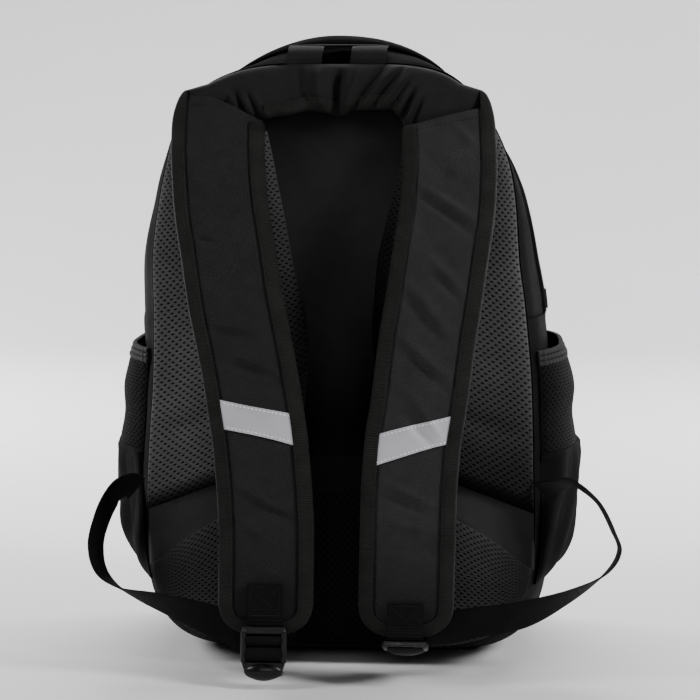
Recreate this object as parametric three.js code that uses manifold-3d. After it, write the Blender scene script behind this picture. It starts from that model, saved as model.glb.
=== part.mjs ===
// A rucksack with two padded shoulder straps, standing on its base.
// Millimetres, +Z up. The origin is on the floor under the middle of the bag, and -Y is the side that is worn.
import * as THREE from "three";
import { mergeVertices } from "three/addons/utils/BufferGeometryUtils.js";
import ManifoldModule from "manifold-3d";

const wasm = await ManifoldModule();
wasm.setup();

// Driving dimensions
const GAP = 0.4; // between two pieces that are sewn together
const CLOTH = 2; // wall of the bag: cloth, coating and seam allowance
const BACK_SHEET = 3; // back panel: cloth over a thin stiff sheet
const WEBBING = { width: 25, thick: 1.5 };
const SIDE_SEAM = { low: 58, high: 250 }; // heights where the side panels meet the base panel and the zip

// Outline of the bag seen from behind, at stations from the back seam (at 0) to the front seam (at 1).
// Above and below widestZ it is half a superellipse. flare widens it toward the floor.
const OUTLINES = [
  { at: 0.0, halfWidth: 134, widestZ: 235, top: 430, topPower: 4.0, bottom: 12, bottomPower: 5.2, flare: 0.09 },
  { at: 0.1, halfWidth: 141, widestZ: 242, top: 436, topPower: 2.9, bottom: 7, bottomPower: 5.6, flare: 0.07 },
  { at: 0.34, halfWidth: 147, widestZ: 250, top: 444, topPower: 2.15, bottom: -2, bottomPower: 6, flare: 0.05 },
  { at: 0.66, halfWidth: 147, widestZ: 250, top: 440, topPower: 2.1, bottom: -2, bottomPower: 6, flare: 0.05 },
  { at: 0.9, halfWidth: 141, widestZ: 246, top: 432, topPower: 2.2, bottom: 1, bottomPower: 5.6, flare: 0.05 },
  { at: 1.0, halfWidth: 132, widestZ: 240, top: 424, topPower: 2.3, bottom: 6, bottomPower: 5.0, flare: 0.05 },
];

// Side view: where the back seam and the front seam lie at each height.
const PROFILE = [
  { z: 0, back: -85, front: 86 },
  { z: 60, back: -88, front: 93 },
  { z: 150, back: -86, front: 94 },
  { z: 250, back: -82, front: 84 },
  { z: 350, back: -77, front: 60 },
  { z: 450, back: -70, front: 14 },
];

// The soft bag leans, and its straps hang askew: how far the bag, and what hangs on its left and on its right
// strap, lie to the right of the middle line at each height.
const LEAN = [
  { z: 0, bag: 0, left: 0, right: 0 },
  { z: 60, bag: 0, left: 1, right: 1 },
  { z: 110, bag: -0.8, left: 1.8, right: 2.1 },
  { z: 130, bag: -1.2, left: 1, right: 2.5 },
  { z: 166, bag: -0.6, left: -0.3, right: 3.2 },
  { z: 200, bag: 0, left: -0.7, right: 3.5 },
  { z: 258, bag: -2.2, left: -3.2, right: 1.6 },
  { z: 295, bag: -4.8, left: -3.8, right: 0 },
  { z: 355, bag: -3.4, left: -4.4, right: -3.8 },
  { z: 395, bag: -6, left: -6, right: -6 },
  { z: 410, bag: -6, left: -6, right: -6 },
  { z: 428, bag: -2.5, left: -2.5, right: -2.5 },
  { z: 447, bag: 0, left: 0, right: 0 },
];

// Zip over the dome, as places between the back seam (0) and the front seam (1), and the flap rolled over it.
const ZIP = { back: 0.29, front: 0.37, sunk: 0.6, thick: 1.4 };
const FLAP = { low: 422, margin: 0.06, edgeRise: 0.6, rise: 3.2, thick: 1.5 };
const SLIDER = { length: 14, width: 8, thick: 2, taper: 0.35, height: 260 };
const FRONT_CROWN = { rise: 9, halfWidth: 135, middleZ: 184, halfHeight: 240 }; // bulge of the front panel

// Air-mesh pads on the back panel. The inner edge of an upper pad, as half-distances from the middle.
const PAD = { thick: 12, edge: 3, gap: 0.5, seamInset: 4.5, top: 382, outerLow: 112, innerLow: 152 };
const PAD_INNER = [
  { z: 152, x: 31 },
  { z: 200, x: 25 },
  { z: 235, x: 23 },
  { z: 290, x: 30 },
  { z: 320, x: 36 },
  { z: 355, x: 44 },
  { z: 382, x: 48 },
];
const LUMBAR = { halfWidth: 133, top: 130, drop: 0.0031, thick: 13, topEdge: 9.5, bottomInset: 4 };
const BAND = { halfWidth: 130, low: 9, high: 1.5, clear: 1 }; // plain slope up from the lumbar pad

// Side pockets: how far the pocket stands off the side panel at its middle.
const POCKET = { back: 0.05, front: 0.93, thick: 1.6, off: 0.5, roundness: 2.6 };
const POCKET_CUTS = { low: 59, meshLow: 153, meshHigh: 215.5, high: 226.5 };
const POCKET_BULGE = [
  { z: 59, bulge: 1 },
  { z: 70, bulge: 9 },
  { z: 85, bulge: 15 },
  { z: 103, bulge: 18.5 },
  { z: 140, bulge: 20.5 },
  { z: 156, bulge: 18.5 },
  { z: 175, bulge: 16 },
  { z: 192, bulge: 17.5 },
  { z: 212, bulge: 13.5 },
  { z: 226.5, bulge: 8.5 },
];

// Shoulder strap: the line down its middle, for the right strap. The left one is its mirror image.
const STRAP_LINE = [
  { x: 80.5, y: -82, z: 396 },
  { x: 81, y: -86.5, z: 384 },
  { x: 81, y: -95, z: 369 },
  { x: 78.5, y: -109, z: 335 },
  { x: 72, y: -124, z: 301 },
  { x: 66, y: -136, z: 268 },
  { x: 59.5, y: -143.5, z: 234 },
  { x: 54.5, y: -148.5, z: 200 },
  { x: 50, y: -151.5, z: 166 },
  { x: 48.5, y: -152.5, z: 130 },
  { x: 48.5, y: -152, z: 94 },
  { x: 48.5, y: -151, z: 64 },
  { x: 48.5, y: -150, z: 36 },
];
const STRAP = { halfWidth: 33, back: 2.6, edge: 2.6, crown: 3.4, crownReach: 9 };
const STRAP_END = { length: 26, power: 2.6, clear: 1, thinner: 0.25 }; // its round lower end
// The rounded shoulder at the top of the strap's outer edge, as places along the strap.
const SHOULDER = { top: -14, base: 18, power: 2.1 };
// Seam between the yoke and each strap, as places along the strap at distances across it.
const STRAP_SEAM = {
  left: [
    { across: -33, along: 9.4 },
    { across: -19, along: 3.4 },
    { across: -1.5, along: -4.3 },
    { across: 8, along: -6.8 },
    { across: 23, along: -7 },
  ],
  right: [
    { across: -33, along: 14.2 },
    { across: -18.4, along: 10.9 },
    { across: -5.2, along: 7.4 },
    { across: 8.7, along: 4.6 },
    { across: 23, along: 1.8 },
  ],
};
const BINDING = { width: 10, thick: 1, gap: 0.4, lip: 1.6 };
const REFLECTOR = { width: 20, thick: 0.6 };
const REFLECTOR_PLACE = { left: { fromEnd: 150, slant: 18.5 }, right: { fromEnd: 139, slant: 22 } };

// Yoke: the padded band over the back. Its free lower edge runs between the straps.
const YOKE = { halfWidth: 102, thick: 9.5, edge: 4, thinnest: 2.8, off: 1.8, topInset: 3.5, seamGap: 2 };
const YOKE_CORNER = { z: 410, slope: 0.3, reach: 20 }; // its upper corners stand above the panel's round ones
const YOKE_BINDING = { reach: 46, lift: 0.5 };
const YOKE_EDGE = [
  { x: -50, z: 390 },
  { x: -32, z: 392.6 },
  { x: -16, z: 396 },
  { x: -2, z: 394 },
  { x: 2, z: 392 },
  { x: 8.5, z: 393.4 },
  { x: 14, z: 396.2 },
  { x: 40, z: 397 },
  { x: 46, z: 392 },
  { x: 50, z: 385 },
];
// Its folds run up from places at the height FOLDS_FROM, and lean sideways by slant for each millimetre.
const FOLDS_FROM = 389;
const YOKE_FOLDS = [
  { x: 2.2, depth: 5.5, width: 4.5, slant: 0 },
  { x: 4, depth: 1.6, width: 3.5, slant: 0.38 },
  { x: 8, depth: 1.8, width: 4, slant: 0.62 },
  { x: 24, depth: 1.7, width: 4.5, slant: 0.75 },
  { x: 46, depth: 1.6, width: 4, slant: 0.55 },
  { x: -53, depth: 1.6, width: 4, slant: -0.5 },
];

// Haul loop: two legs that leave the top seam and a grip that lies behind them.
const HAUL = { leftX: -25, rightX: 20, gripDeep: 12, lap: 1 };
const HAUL_LEG = [
  { y: -74.2, z: 428.6 },
  { y: -75.2, z: 434 },
  { y: -73, z: 438.6 },
  { y: -68, z: 440.8 },
  { y: -56, z: 441.4 },
];

// Ladder lock: top plate, two cross bars between rails, and a rounded nose.
const LOCK = {
  width: 31,
  rail: 2.4,
  thick: 3.6,
  plate: 5,
  firstBar: 9.4,
  secondBar: 19.2,
  barRadius: 1.6,
  shoulder: 21,
  windowEnd: 25,
  length: 38,
  noseBulge: 3.2,
  noseWide: 0.88,
  noseLong: 0.48,
};
const LOCK_PLACE = {
  left: { fromEnd: 9, height: 11, tilt: -3 },
  right: { fromEnd: -2, height: 9.5, tilt: 68 },
};
const TAB = { topFromEnd: { left: 38, right: 26 }, lift: 1.4 };

// Lower webbing from the side seam to the back of the ladder lock. w is the direction of its width.
const WEB_ROUTE = {
  left: [
    { x: -148, y: -88, z: 127, wx: 0, wy: -0.6, wz: 0.8 },
    { x: -153.5, y: -92.5, z: 129.5, wx: 0, wy: -0.75, wz: 0.62 },
    { x: -161.5, y: -103, z: 125.5, wx: -0.2, wy: -0.88, wz: 0.4 },
    { x: -169, y: -115, z: 111, wx: -0.28, wy: -0.93, wz: 0.2 },
    { x: -172.5, y: -124, z: 92, wx: -0.25, wy: -0.95, wz: 0.1 },
    { x: -167, y: -130, z: 74, wx: -0.12, wy: -0.97, wz: 0.1 },
    { x: -151, y: -134, z: 62.5, wx: 0.05, wy: -0.95, wz: 0.3 },
    { x: -123, y: -136, z: 54, wx: 0.2, wy: -0.8, wz: 0.75 },
    { x: -96, y: -136, z: 45, wx: 0.1, wy: -0.4, wz: 0.9 },
    { x: -76, y: -134, z: 37, wx: -0.2, wy: -0.15, wz: 0.9 },
    { x: -60, y: -134, z: 29, wx: -0.7, wy: 0.1, wz: 0.7 },
    { x: -50, y: -142, z: 28, wx: -1, wy: 0.1, wz: 0.15 },
  ],
  right: [
    { x: 140.5, y: -87.5, z: 128, wx: 0, wy: -0.6, wz: 0.8 },
    { x: 148.5, y: -92.5, z: 133, wx: -0.2, wy: -0.85, wz: 0.45 },
    { x: 162.5, y: -102, z: 136, wx: 0.05, wy: -0.95, wz: 0.3 },
    { x: 179, y: -112, z: 125, wx: 0.12, wy: -0.97, wz: 0.12 },
    { x: 190, y: -118, z: 106, wx: 0.12, wy: -0.98, wz: 0.05 },
    { x: 194.5, y: -122, z: 92, wx: 0.05, wy: -1, wz: 0.1 },
    { x: 185, y: -126, z: 77, wx: 0, wy: -1, wz: 0.2 },
    { x: 161, y: -129, z: 62, wx: -0.2, wy: -0.9, wz: 0.5 },
    { x: 129, y: -132, z: 49, wx: -0.2, wy: -0.5, wz: 0.85 },
    { x: 97, y: -132, z: 43, wx: -0.1, wy: -0.35, wz: 0.93 },
    { x: 77, y: -131, z: 39, wx: 0.2, wy: -0.15, wz: 0.9 },
    { x: 61, y: -132.5, z: 39.5, wx: 0.7, wy: 0.2, wz: 0.7 },
    { x: 50.5, y: -139, z: 36.5, wx: 1, wy: 0.1, wz: 0.15 },
  ],
};
// Where the webbing and the tab pass the lock's bars, behind its face.
const THREAD = { above: 5.5, behind: 6, tailClear: 1.5, plateClear: 1.6, bend: 4, tailEnd: 2, tabFree: 0.6 };

// Materials
const material = (name, color, roughness, metalness = 0) =>
  new THREE.MeshStandardMaterial({ name, color, roughness, metalness });
const LOOKS = {
  cloth: material("black_cloth", 0x1b1b1d, 0.9),
  airMesh: material("air_mesh", 0x2b2b2e, 0.95),
  pocketMesh: material("pocket_mesh", 0x222224, 0.95),
  binding: material("binding_tape", 0x1d1d1b, 0.85),
  webbing: material("webbing", 0x19191b, 0.8),
  reflective: material("reflective_tape", 0xa5a3a8, 0.45),
  plastic: material("black_plastic", 0x0b0b0c, 0.3),
  zip: material("zip_tape", 0x161617, 0.8),
  metal: material("dark_metal", 0x2a2a2c, 0.35, 0.9),
};

// Solids from grids of points
function solid(positions, index) {
  const geometry = new THREE.BufferGeometry();
  const corner = (k) => new THREE.Vector3().fromArray(positions, 3 * index[k]);
  let volume = 0;
  for (let k = 0; k < index.length; k += 3) {
    volume += corner(k).dot(corner(k + 1).cross(corner(k + 2)));
  }
  if (volume < 0) index.reverse();
  geometry.setAttribute("position", new THREE.Float32BufferAttribute(positions, 3));
  geometry.setIndex(index);
  return geometry;
}

/** Closes the space between two sheets first(u, v) and second(u, v), each cut into nu by nv cells. */
function between(first, second, nu, nv) {
  const positions = [];
  const index = [];
  const at = (layer, i, j) => (layer * (nv + 1) + j) * (nu + 1) + i;
  const quad = (a, b, c, d) => index.push(a, b, c, a, c, d);
  for (const sheet of [first, second]) {
    for (let j = 0; j <= nv; j++) {
      for (let i = 0; i <= nu; i++) positions.push(...sheet(i / nu, j / nv).toArray());
    }
  }
  for (let j = 0; j < nv; j++) {
    for (let i = 0; i < nu; i++) {
      quad(at(0, i, j), at(0, i + 1, j), at(0, i + 1, j + 1), at(0, i, j + 1));
      quad(at(1, i, j), at(1, i, j + 1), at(1, i + 1, j + 1), at(1, i + 1, j));
    }
  }
  for (let i = 0; i < nu; i++) {
    quad(at(0, i, 0), at(1, i, 0), at(1, i + 1, 0), at(0, i + 1, 0));
    quad(at(0, i, nv), at(0, i + 1, nv), at(1, i + 1, nv), at(1, i, nv));
  }
  for (let j = 0; j < nv; j++) {
    quad(at(0, 0, j), at(0, 0, j + 1), at(1, 0, j + 1), at(1, 0, j));
    quad(at(0, nu, j), at(1, nu, j), at(1, nu, j + 1), at(0, nu, j + 1));
  }
  return solid(positions, index);
}

/** Joins a row of equal rings of points into one solid. profile is the ring's flat shape, for the two ends. */
function sweep(rings, profile) {
  const count = profile.length;
  const index = [];
  for (let j = 0; j + 1 < rings.length; j++) {
    for (let i = 0; i < count; i++) {
      const a = j * count + i;
      const b = j * count + ((i + 1) % count);
      index.push(a, b, b + count, a, b + count, a + count);
    }
  }
  const last = (rings.length - 1) * count;
  const outline = profile.map(([x, y]) => new THREE.Vector2(x, y));
  const turn = THREE.ShapeUtils.area(outline) > 0 ? 1 : -1;
  for (const [a, b, c] of THREE.ShapeUtils.triangulateShape(outline, [])) {
    const cap = turn > 0 ? [a, c, b] : [a, b, c];
    index.push(...cap);
    index.push(last + cap[0], last + cap[2], last + cap[1]);
  }
  return solid(rings.flat().flatMap((p) => p.toArray()), index);
}

/** Reads a column of a table between its rows, on a smooth curve that never overshoots. */
function column(table, along, place, name) {
  const last = table.length - 1;
  const here = THREE.MathUtils.clamp(place, table[0][along], table[last][along]);
  let row = 0;
  while (row < last - 1 && here > table[row + 1][along]) row++;
  const rise = (k) => (table[k + 1][name] - table[k][name]) / (table[k + 1][along] - table[k][along]);
  const slope = (k) => {
    if (k === 0) return rise(0);
    if (k === last) return rise(last - 1);
    const product = rise(k - 1) * rise(k);
    return product <= 0 ? 0 : (2 * product) / (rise(k - 1) + rise(k));
  };
  const step = table[row + 1][along] - table[row][along];
  const t = (here - table[row][along]) / step;
  const s = 1 - t;
  const start = s * s * (1 + 2 * t) * table[row][name] + s * s * t * step * slope(row);
  const end = t * t * (3 - 2 * t) * table[row + 1][name] - t * t * s * step * slope(row + 1);
  return start + end;
}

const lerp = THREE.MathUtils.lerp;
const clamp = THREE.MathUtils.clamp;
const degrees = THREE.MathUtils.degToRad;
const SMALL_STEP = 0.004; // part of an outline or of the bag's depth, for slopes and seam gaps

// Surface of the bag
const outlineCache = new Map();

/** Half of the outline at a station, from the bottom middle to the top middle, with its running length. */
function halfOutline(at) {
  const key = at.toFixed(5);
  if (outlineCache.has(key)) return outlineCache.get(key);
  const steps = 120;
  const size = (name) => column(OUTLINES, "at", at, name);
  const points = [];
  for (let i = 0; i <= steps; i++) {
    const angle = lerp(-Math.PI / 2, Math.PI / 2, i / steps);
    const power = angle > 0 ? size("topPower") : size("bottomPower");
    const reach = angle > 0 ? size("top") - size("widestZ") : size("widestZ") - size("bottom");
    const across = Math.max(Math.cos(angle), 0) ** (2 / power);
    const up = Math.sign(angle) * Math.abs(Math.sin(angle)) ** (2 / power);
    const z = Math.max(size("widestZ") + reach * up, 0);
    const x = size("halfWidth") * across * (1 + size("flare") * (1 - z / size("widestZ")));
    const before = points[i - 1];
    const length = before ? before.length + Math.hypot(x - before.x, z - before.z) : 0;
    points.push({ x, z, length });
  }
  outlineCache.set(key, points);
  return points;
}

/** The outline at a fraction of its half length: 0 at the bottom middle, 1 at the top middle. */
function outlineAt(at, fraction) {
  const points = halfOutline(at);
  const goal = clamp(fraction, 0, 1) * points.at(-1).length;
  let i = 0;
  while (i < points.length - 2 && points[i + 1].length < goal) i++;
  const t = (goal - points[i].length) / (points[i + 1].length - points[i].length);
  return { x: lerp(points[i].x, points[i + 1].x, t), z: lerp(points[i].z, points[i + 1].z, t) };
}

/** The fraction of the half outline where it reaches a height on its way up. */
function fractionAtHeight(at, z) {
  const points = halfOutline(at);
  let i = 0;
  while (i < points.length - 2 && points[i + 1].z < z) i++;
  const t = (z - points[i].z) / (points[i + 1].z - points[i].z);
  return lerp(points[i].length, points[i + 1].length, t) / points.at(-1).length;
}

const backY = (z) => column(PROFILE, "z", z, "back");
const depthY = (at, z) => lerp(backY(z), column(PROFILE, "z", z, "front"), at);

function bodyPoint(at, fraction, side) {
  const { x, z } = outlineAt(at, fraction);
  return new THREE.Vector3(side * x, depthY(at, z), z);
}

/** A point off the bag's surface, off millimetres outward, or inward where off is negative. */
function offBody(at, fraction, side, off) {
  const behind = bodyPoint(Math.max(at - SMALL_STEP, 0), fraction, 1);
  const ahead = bodyPoint(Math.min(at + SMALL_STEP, 1), fraction, 1);
  const below = bodyPoint(at, Math.max(fraction - SMALL_STEP, 0), 1);
  const above = bodyPoint(at, Math.min(fraction + SMALL_STEP, 1), 1);
  const normal = ahead.sub(behind).cross(above.sub(below)).normalize();
  if (fraction < SMALL_STEP || fraction > 1 - SMALL_STEP) normal.setX(0).normalize();
  normal.x *= side;
  return bodyPoint(at, fraction, side).addScaledVector(normal, off);
}

/** A strip of the bag's wall that spans both sides, from u 0 on the left to u 1 on the right. */
function acrossBody(atFrom, atTo, fractionAtEnd, fractionAtMiddle, off) {
  return (u, v) => {
    const at = lerp(atFrom, atTo, v);
    const away = Math.abs(2 * u - 1);
    const fraction = lerp(fractionAtMiddle, fractionAtEnd(at), away);
    return offBody(at, fraction, u < 0.5 ? -1 : 1, off);
  };
}

const model = new THREE.Group();
/** Adds a piece that leans with the bag, or hangs with its left or right strap. */
function addPiece(name, geometry, look, hangs = "bag") {
  const points = geometry.attributes.position;
  for (let i = 0; i < points.count; i++) {
    points.setX(i, points.getX(i) + column(LEAN, "z", points.getZ(i), hangs));
  }
  const mesh = new THREE.Mesh(geometry, look);
  mesh.name = name;
  model.add(mesh);
}
const SIDES = [
  { side: -1, name: "left" },
  { side: 1, name: "right" },
];

// Base panel, side panels and the strips over the dome
const lowSeam = (shift) => (at) => fractionAtHeight(at, SIDE_SEAM.low + shift);
const highSeam = (shift) => (at) => fractionAtHeight(at, SIDE_SEAM.high + shift);

function addWall(name, surface, cells, look) {
  addPiece(name, between(surface(0), surface(-CLOTH), ...cells), look);
}

addWall("base_panel", (off) => acrossBody(0, 1, lowSeam(-GAP / 2), 0, off), [22, 6], LOOKS.cloth);
for (const { side, name } of SIDES) {
  const surface = (off) => (u, v) => {
    const at = v;
    const fraction = lerp(lowSeam(GAP / 2)(at), highSeam(-GAP / 2)(at), u);
    return offBody(at, fraction, side, off);
  };
  addWall(`side_panel_${name}`, surface, [6, 6], LOOKS.cloth);
}
const overDome = (from, to) => (off) => acrossBody(from, to, highSeam(GAP / 2), 1, off);
addWall("top_gusset_back", overDome(0, ZIP.back - SMALL_STEP), [22, 2], LOOKS.cloth);
addWall("top_gusset_front", overDome(ZIP.front + SMALL_STEP, 1), [22, 4], LOOKS.cloth);
const zipStrip = overDome(ZIP.back, ZIP.front);
addPiece("main_zip", between(zipStrip(-ZIP.sunk), zipStrip(-ZIP.sunk - ZIP.thick), 22, 1), LOOKS.zip);

const plateau = (t, power) => Math.sqrt(Math.max(1 - Math.abs(2 * t - 1) ** power, 0));

const flapEnd = (at) => fractionAtHeight(at, FLAP.low);
const flap = (extra) => (u, v) => {
  const off = lerp(FLAP.edgeRise, FLAP.rise, plateau(v, 2) * plateau(u, 4)) + extra;
  return acrossBody(ZIP.back - FLAP.margin, ZIP.front + FLAP.margin, flapEnd, 1, off)(u, v);
};
addPiece("zip_flap", between(flap(FLAP.thick), flap(0), 12, 3), LOOKS.cloth);

function sliderGeometry() {
  const middle = (ZIP.back + ZIP.front) / 2;
  const depth = depthY(1, SLIDER.height) - depthY(0, SLIDER.height);
  const face = (off) => (u, v) => {
    const z = SLIDER.height + (u - 0.5) * SLIDER.length;
    const at = middle + ((v - 0.5) * SLIDER.width * (1 - SLIDER.taper * u)) / depth;
    return offBody(at, fractionAtHeight(at, z), 1, off);
  };
  const low = GAP - ZIP.sunk;
  return between(face(low + SLIDER.thick), face(low), 2, 2);
}
addPiece("zip_slider", sliderGeometry(), LOOKS.metal);

// Back and front panels
// Fractions of the half outline where a panel's rows begin and end, and how its last rows rise to the crest.
const PANEL_ROWS = { low: 0.13, high: 0.93, crestPower: 12, crestShare: 0.9 };
const PANEL_INSET = { back: 4.6, front: 3 };

/** The outline at a station, moved inward by an inset. */
function insetOutline(at, fraction, inset) {
  const here = outlineAt(at, fraction);
  const before = outlineAt(at, fraction - SMALL_STEP);
  const after = outlineAt(at, fraction + SMALL_STEP);
  const run = Math.hypot(after.x - before.x, after.z - before.z);
  return { x: here.x - (inset * (after.z - before.z)) / run, z: here.z + (inset * (after.x - before.x)) / run };
}

/** A sheet that fills the outline at a station, inset from it. bow(x, z) moves it along Y. */
function panelSheet(at, inset, bow) {
  return (u, v) => {
    const edge = insetOutline(at, lerp(PANEL_ROWS.low, PANEL_ROWS.high, v), inset);
    const crest = outlineAt(at, 1).z - inset - edge.z;
    const across = 2 * u - 1;
    const x = edge.x * across;
    const z = edge.z + crest * PANEL_ROWS.crestShare * v ** PANEL_ROWS.crestPower * (1 - across ** 2);
    return new THREE.Vector3(x, depthY(at, z) + bow(x, z), z);
  };
}

const backFace = panelSheet(0, PANEL_INSET.back, () => 0);
const backInside = panelSheet(0, PANEL_INSET.back, () => BACK_SHEET);
addPiece("back_panel", between(backFace, backInside, 10, 13), LOOKS.cloth);

function frontBow(x, z) {
  const { rise, halfWidth, middleZ, halfHeight } = FRONT_CROWN;
  return rise * Math.max(1 - (x / halfWidth) ** 4 - ((z - middleZ) / halfHeight) ** 4, 0);
}
const frontFace = panelSheet(1, PANEL_INSET.front, frontBow);
const frontInside = panelSheet(1, PANEL_INSET.front, (x, z) => frontBow(x, z) - CLOTH);
addPiece("front_panel", between(frontFace, frontInside, 10, 13), LOOKS.cloth);

// Pads on the back panel
/** A pad over a patch of the back panel. place(u, v) gives x and z, and crown(u, v) its thickness. */
function padGeometry(place, crown, cells) {
  const sheet = (height) => (u, v) => {
    const { x, z } = place(u, v);
    return new THREE.Vector3(x, backY(z) - PAD.gap - height(u, v), z);
  };
  return between(sheet(crown), sheet(() => 0), ...cells);
}

const padOuter = (z) => outlineAt(0, fractionAtHeight(0, z)).x - PAD.seamInset;
for (const { side, name } of SIDES) {
  const place = (u, v) => {
    const innerZ = lerp(PAD.innerLow, PAD.top, v);
    const outerZ = lerp(PAD.outerLow, PAD.top, v);
    const inner = column(PAD_INNER, "z", innerZ, "x");
    return { x: side * lerp(inner, padOuter(outerZ), u), z: lerp(innerZ, outerZ, u) };
  };
  const crown = (u, v) => lerp(PAD.edge, PAD.thick, plateau(u, 7) * plateau(v, 10));
  addPiece(`back_pad_${name}`, padGeometry(place, crown, [8, 12]), LOOKS.airMesh);
}

/** Height of the back panel's lower edge at a distance from the middle. */
function lowerEdge(x) {
  const points = halfOutline(0);
  let i = 0;
  while (points[i + 1].x < Math.abs(x)) i++;
  const t = (Math.abs(x) - points[i].x) / (points[i + 1].x - points[i].x);
  return lerp(points[i].z, points[i + 1].z, t);
}
const lumbarTop = (x) => LUMBAR.top - LUMBAR.drop * x * x;
const lumbarPlace = (u, v) => {
  const x = lerp(-LUMBAR.halfWidth, LUMBAR.halfWidth, u);
  return { x, z: lerp(lowerEdge(x) + LUMBAR.bottomInset, lumbarTop(x), v) };
};
const lumbarCrown = (u, v) => {
  const edge = lerp(PAD.edge, lerp(PAD.edge, LUMBAR.topEdge, plateau(u, 12)), v);
  return lerp(edge, LUMBAR.thick, plateau(u, 12) * plateau(v, 6));
};
addPiece("lumbar_pad", padGeometry(lumbarPlace, lumbarCrown, [16, 6]), LOOKS.airMesh);

/** Lower edge of the upper pads, which is level across the channel between them. */
function upperPadsLow(x) {
  const inner = PAD_INNER[0].x;
  const out = clamp((Math.abs(x) - inner) / (padOuter(PAD.outerLow) - inner), 0, 1);
  return lerp(PAD.innerLow, PAD.outerLow, out);
}
const bandPlace = (u, v) => {
  const x = lerp(-BAND.halfWidth, BAND.halfWidth, u);
  return { x, z: lerp(lumbarTop(x) + BAND.clear, upperPadsLow(x) - BAND.clear, v) };
};
const bandCrown = (u, v) => lerp(BAND.high, lerp(BAND.low, BAND.high, v), plateau(u, 12));
addPiece("back_band", padGeometry(bandPlace, bandCrown, [16, 2]), LOOKS.cloth);

// Side pockets
function pocketGeometry(side, low, high, rows) {
  const sheet = (extra) => (u, v) => {
    const at = lerp(POCKET.back, POCKET.front, u);
    const z = lerp(low, high, v);
    const bulge = column(POCKET_BULGE, "z", z, "bulge");
    const off = POCKET.off + bulge * (1 - Math.abs(2 * u - 1) ** POCKET.roundness) + extra;
    return offBody(at, fractionAtHeight(at, z), side, off);
  };
  return between(sheet(POCKET.thick), sheet(0), 8, rows);
}
for (const { side, name } of SIDES) {
  const { low, meshLow, meshHigh, high } = POCKET_CUTS;
  const cut = GAP / 2;
  const cloth = pocketGeometry(side, low, meshLow - cut, 6);
  const mesh = pocketGeometry(side, meshLow + cut, meshHigh - cut, 4);
  const hem = pocketGeometry(side, meshHigh + cut, high, 1);
  addPiece(`pocket_cloth_${name}`, cloth, LOOKS.cloth);
  addPiece(`pocket_mesh_${name}`, mesh, LOOKS.pocketMesh);
  addPiece(`pocket_hem_${name}`, hem, LOOKS.binding);
}

// Shoulder straps
const pointOf = (row) => new THREE.Vector3(row.x, row.y, row.z);
const strapCurve = new THREE.CatmullRomCurve3(STRAP_LINE.map(pointOf), false, "centripetal");
strapCurve.arcLengthDivisions = 400;
const strapLength = strapCurve.getLength();

/** Direction down the strap, across it and out of its face, with the point on its middle line. */
function strapFrame(along) {
  const t = clamp(along / strapLength, 0, 1);
  const down = strapCurve.getTangentAt(t);
  const point = strapCurve.getPointAt(t).addScaledVector(down, along - t * strapLength);
  const across = new THREE.Vector3(1, 0, 0).addScaledVector(down, -down.x).normalize();
  const out = down.clone().cross(across).normalize();
  return { point, down, across, out };
}

function strapPoint(side, along, across, height) {
  const frame = strapFrame(along);
  const p = frame.point.addScaledVector(frame.across, across).addScaledVector(frame.out, height);
  return p.setX(side * p.x);
}

/** Height of the strap's outer face at a distance in from its edge. */
const strapFace = (inward) => STRAP.edge + STRAP.crown * (1 - Math.exp(-inward / STRAP.crownReach));
const strapSeam = (name, across) => column(STRAP_SEAM[name], "across", across, "along");

/** Half width of the strap inside an inset edge, round at its lower end. */
function strapHalfWidth(along, inset) {
  const past = Math.max(along - (strapLength - STRAP_END.length), 0) / (STRAP_END.length - inset);
  const round = Math.max(1 - past ** STRAP_END.power, 0) ** (1 / STRAP_END.power);
  return (STRAP.halfWidth - inset) * round;
}

// The strap and its tape have points at the same rows, and at the same distances in from the edge.
const INWARD = [BINDING.lip, BINDING.width / 2, BINDING.width, 2 * BINDING.width];
const STEPS = { shoulder: 4, straight: 10, round: 5 };

/** The shoulder's edge at t, from its top to where the edge runs straight, and the direction in from it. */
function shoulderEdge(name, t) {
  const angle = ((1 - t) * Math.PI) / 2;
  const power = 2 / SHOULDER.power;
  const inner = STRAP.halfWidth - BINDING.width;
  const along = lerp(SHOULDER.base, SHOULDER.top, Math.sin(angle) ** power);
  const across = inner + BINDING.width * Math.cos(angle) ** power;
  const innerAlong = lerp(strapSeam(name, inner), SHOULDER.base, t);
  const inAlong = (innerAlong - along) / BINDING.width;
  return { along, across, inAlong, inAcross: (inner - across) / BINDING.width };
}

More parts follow.
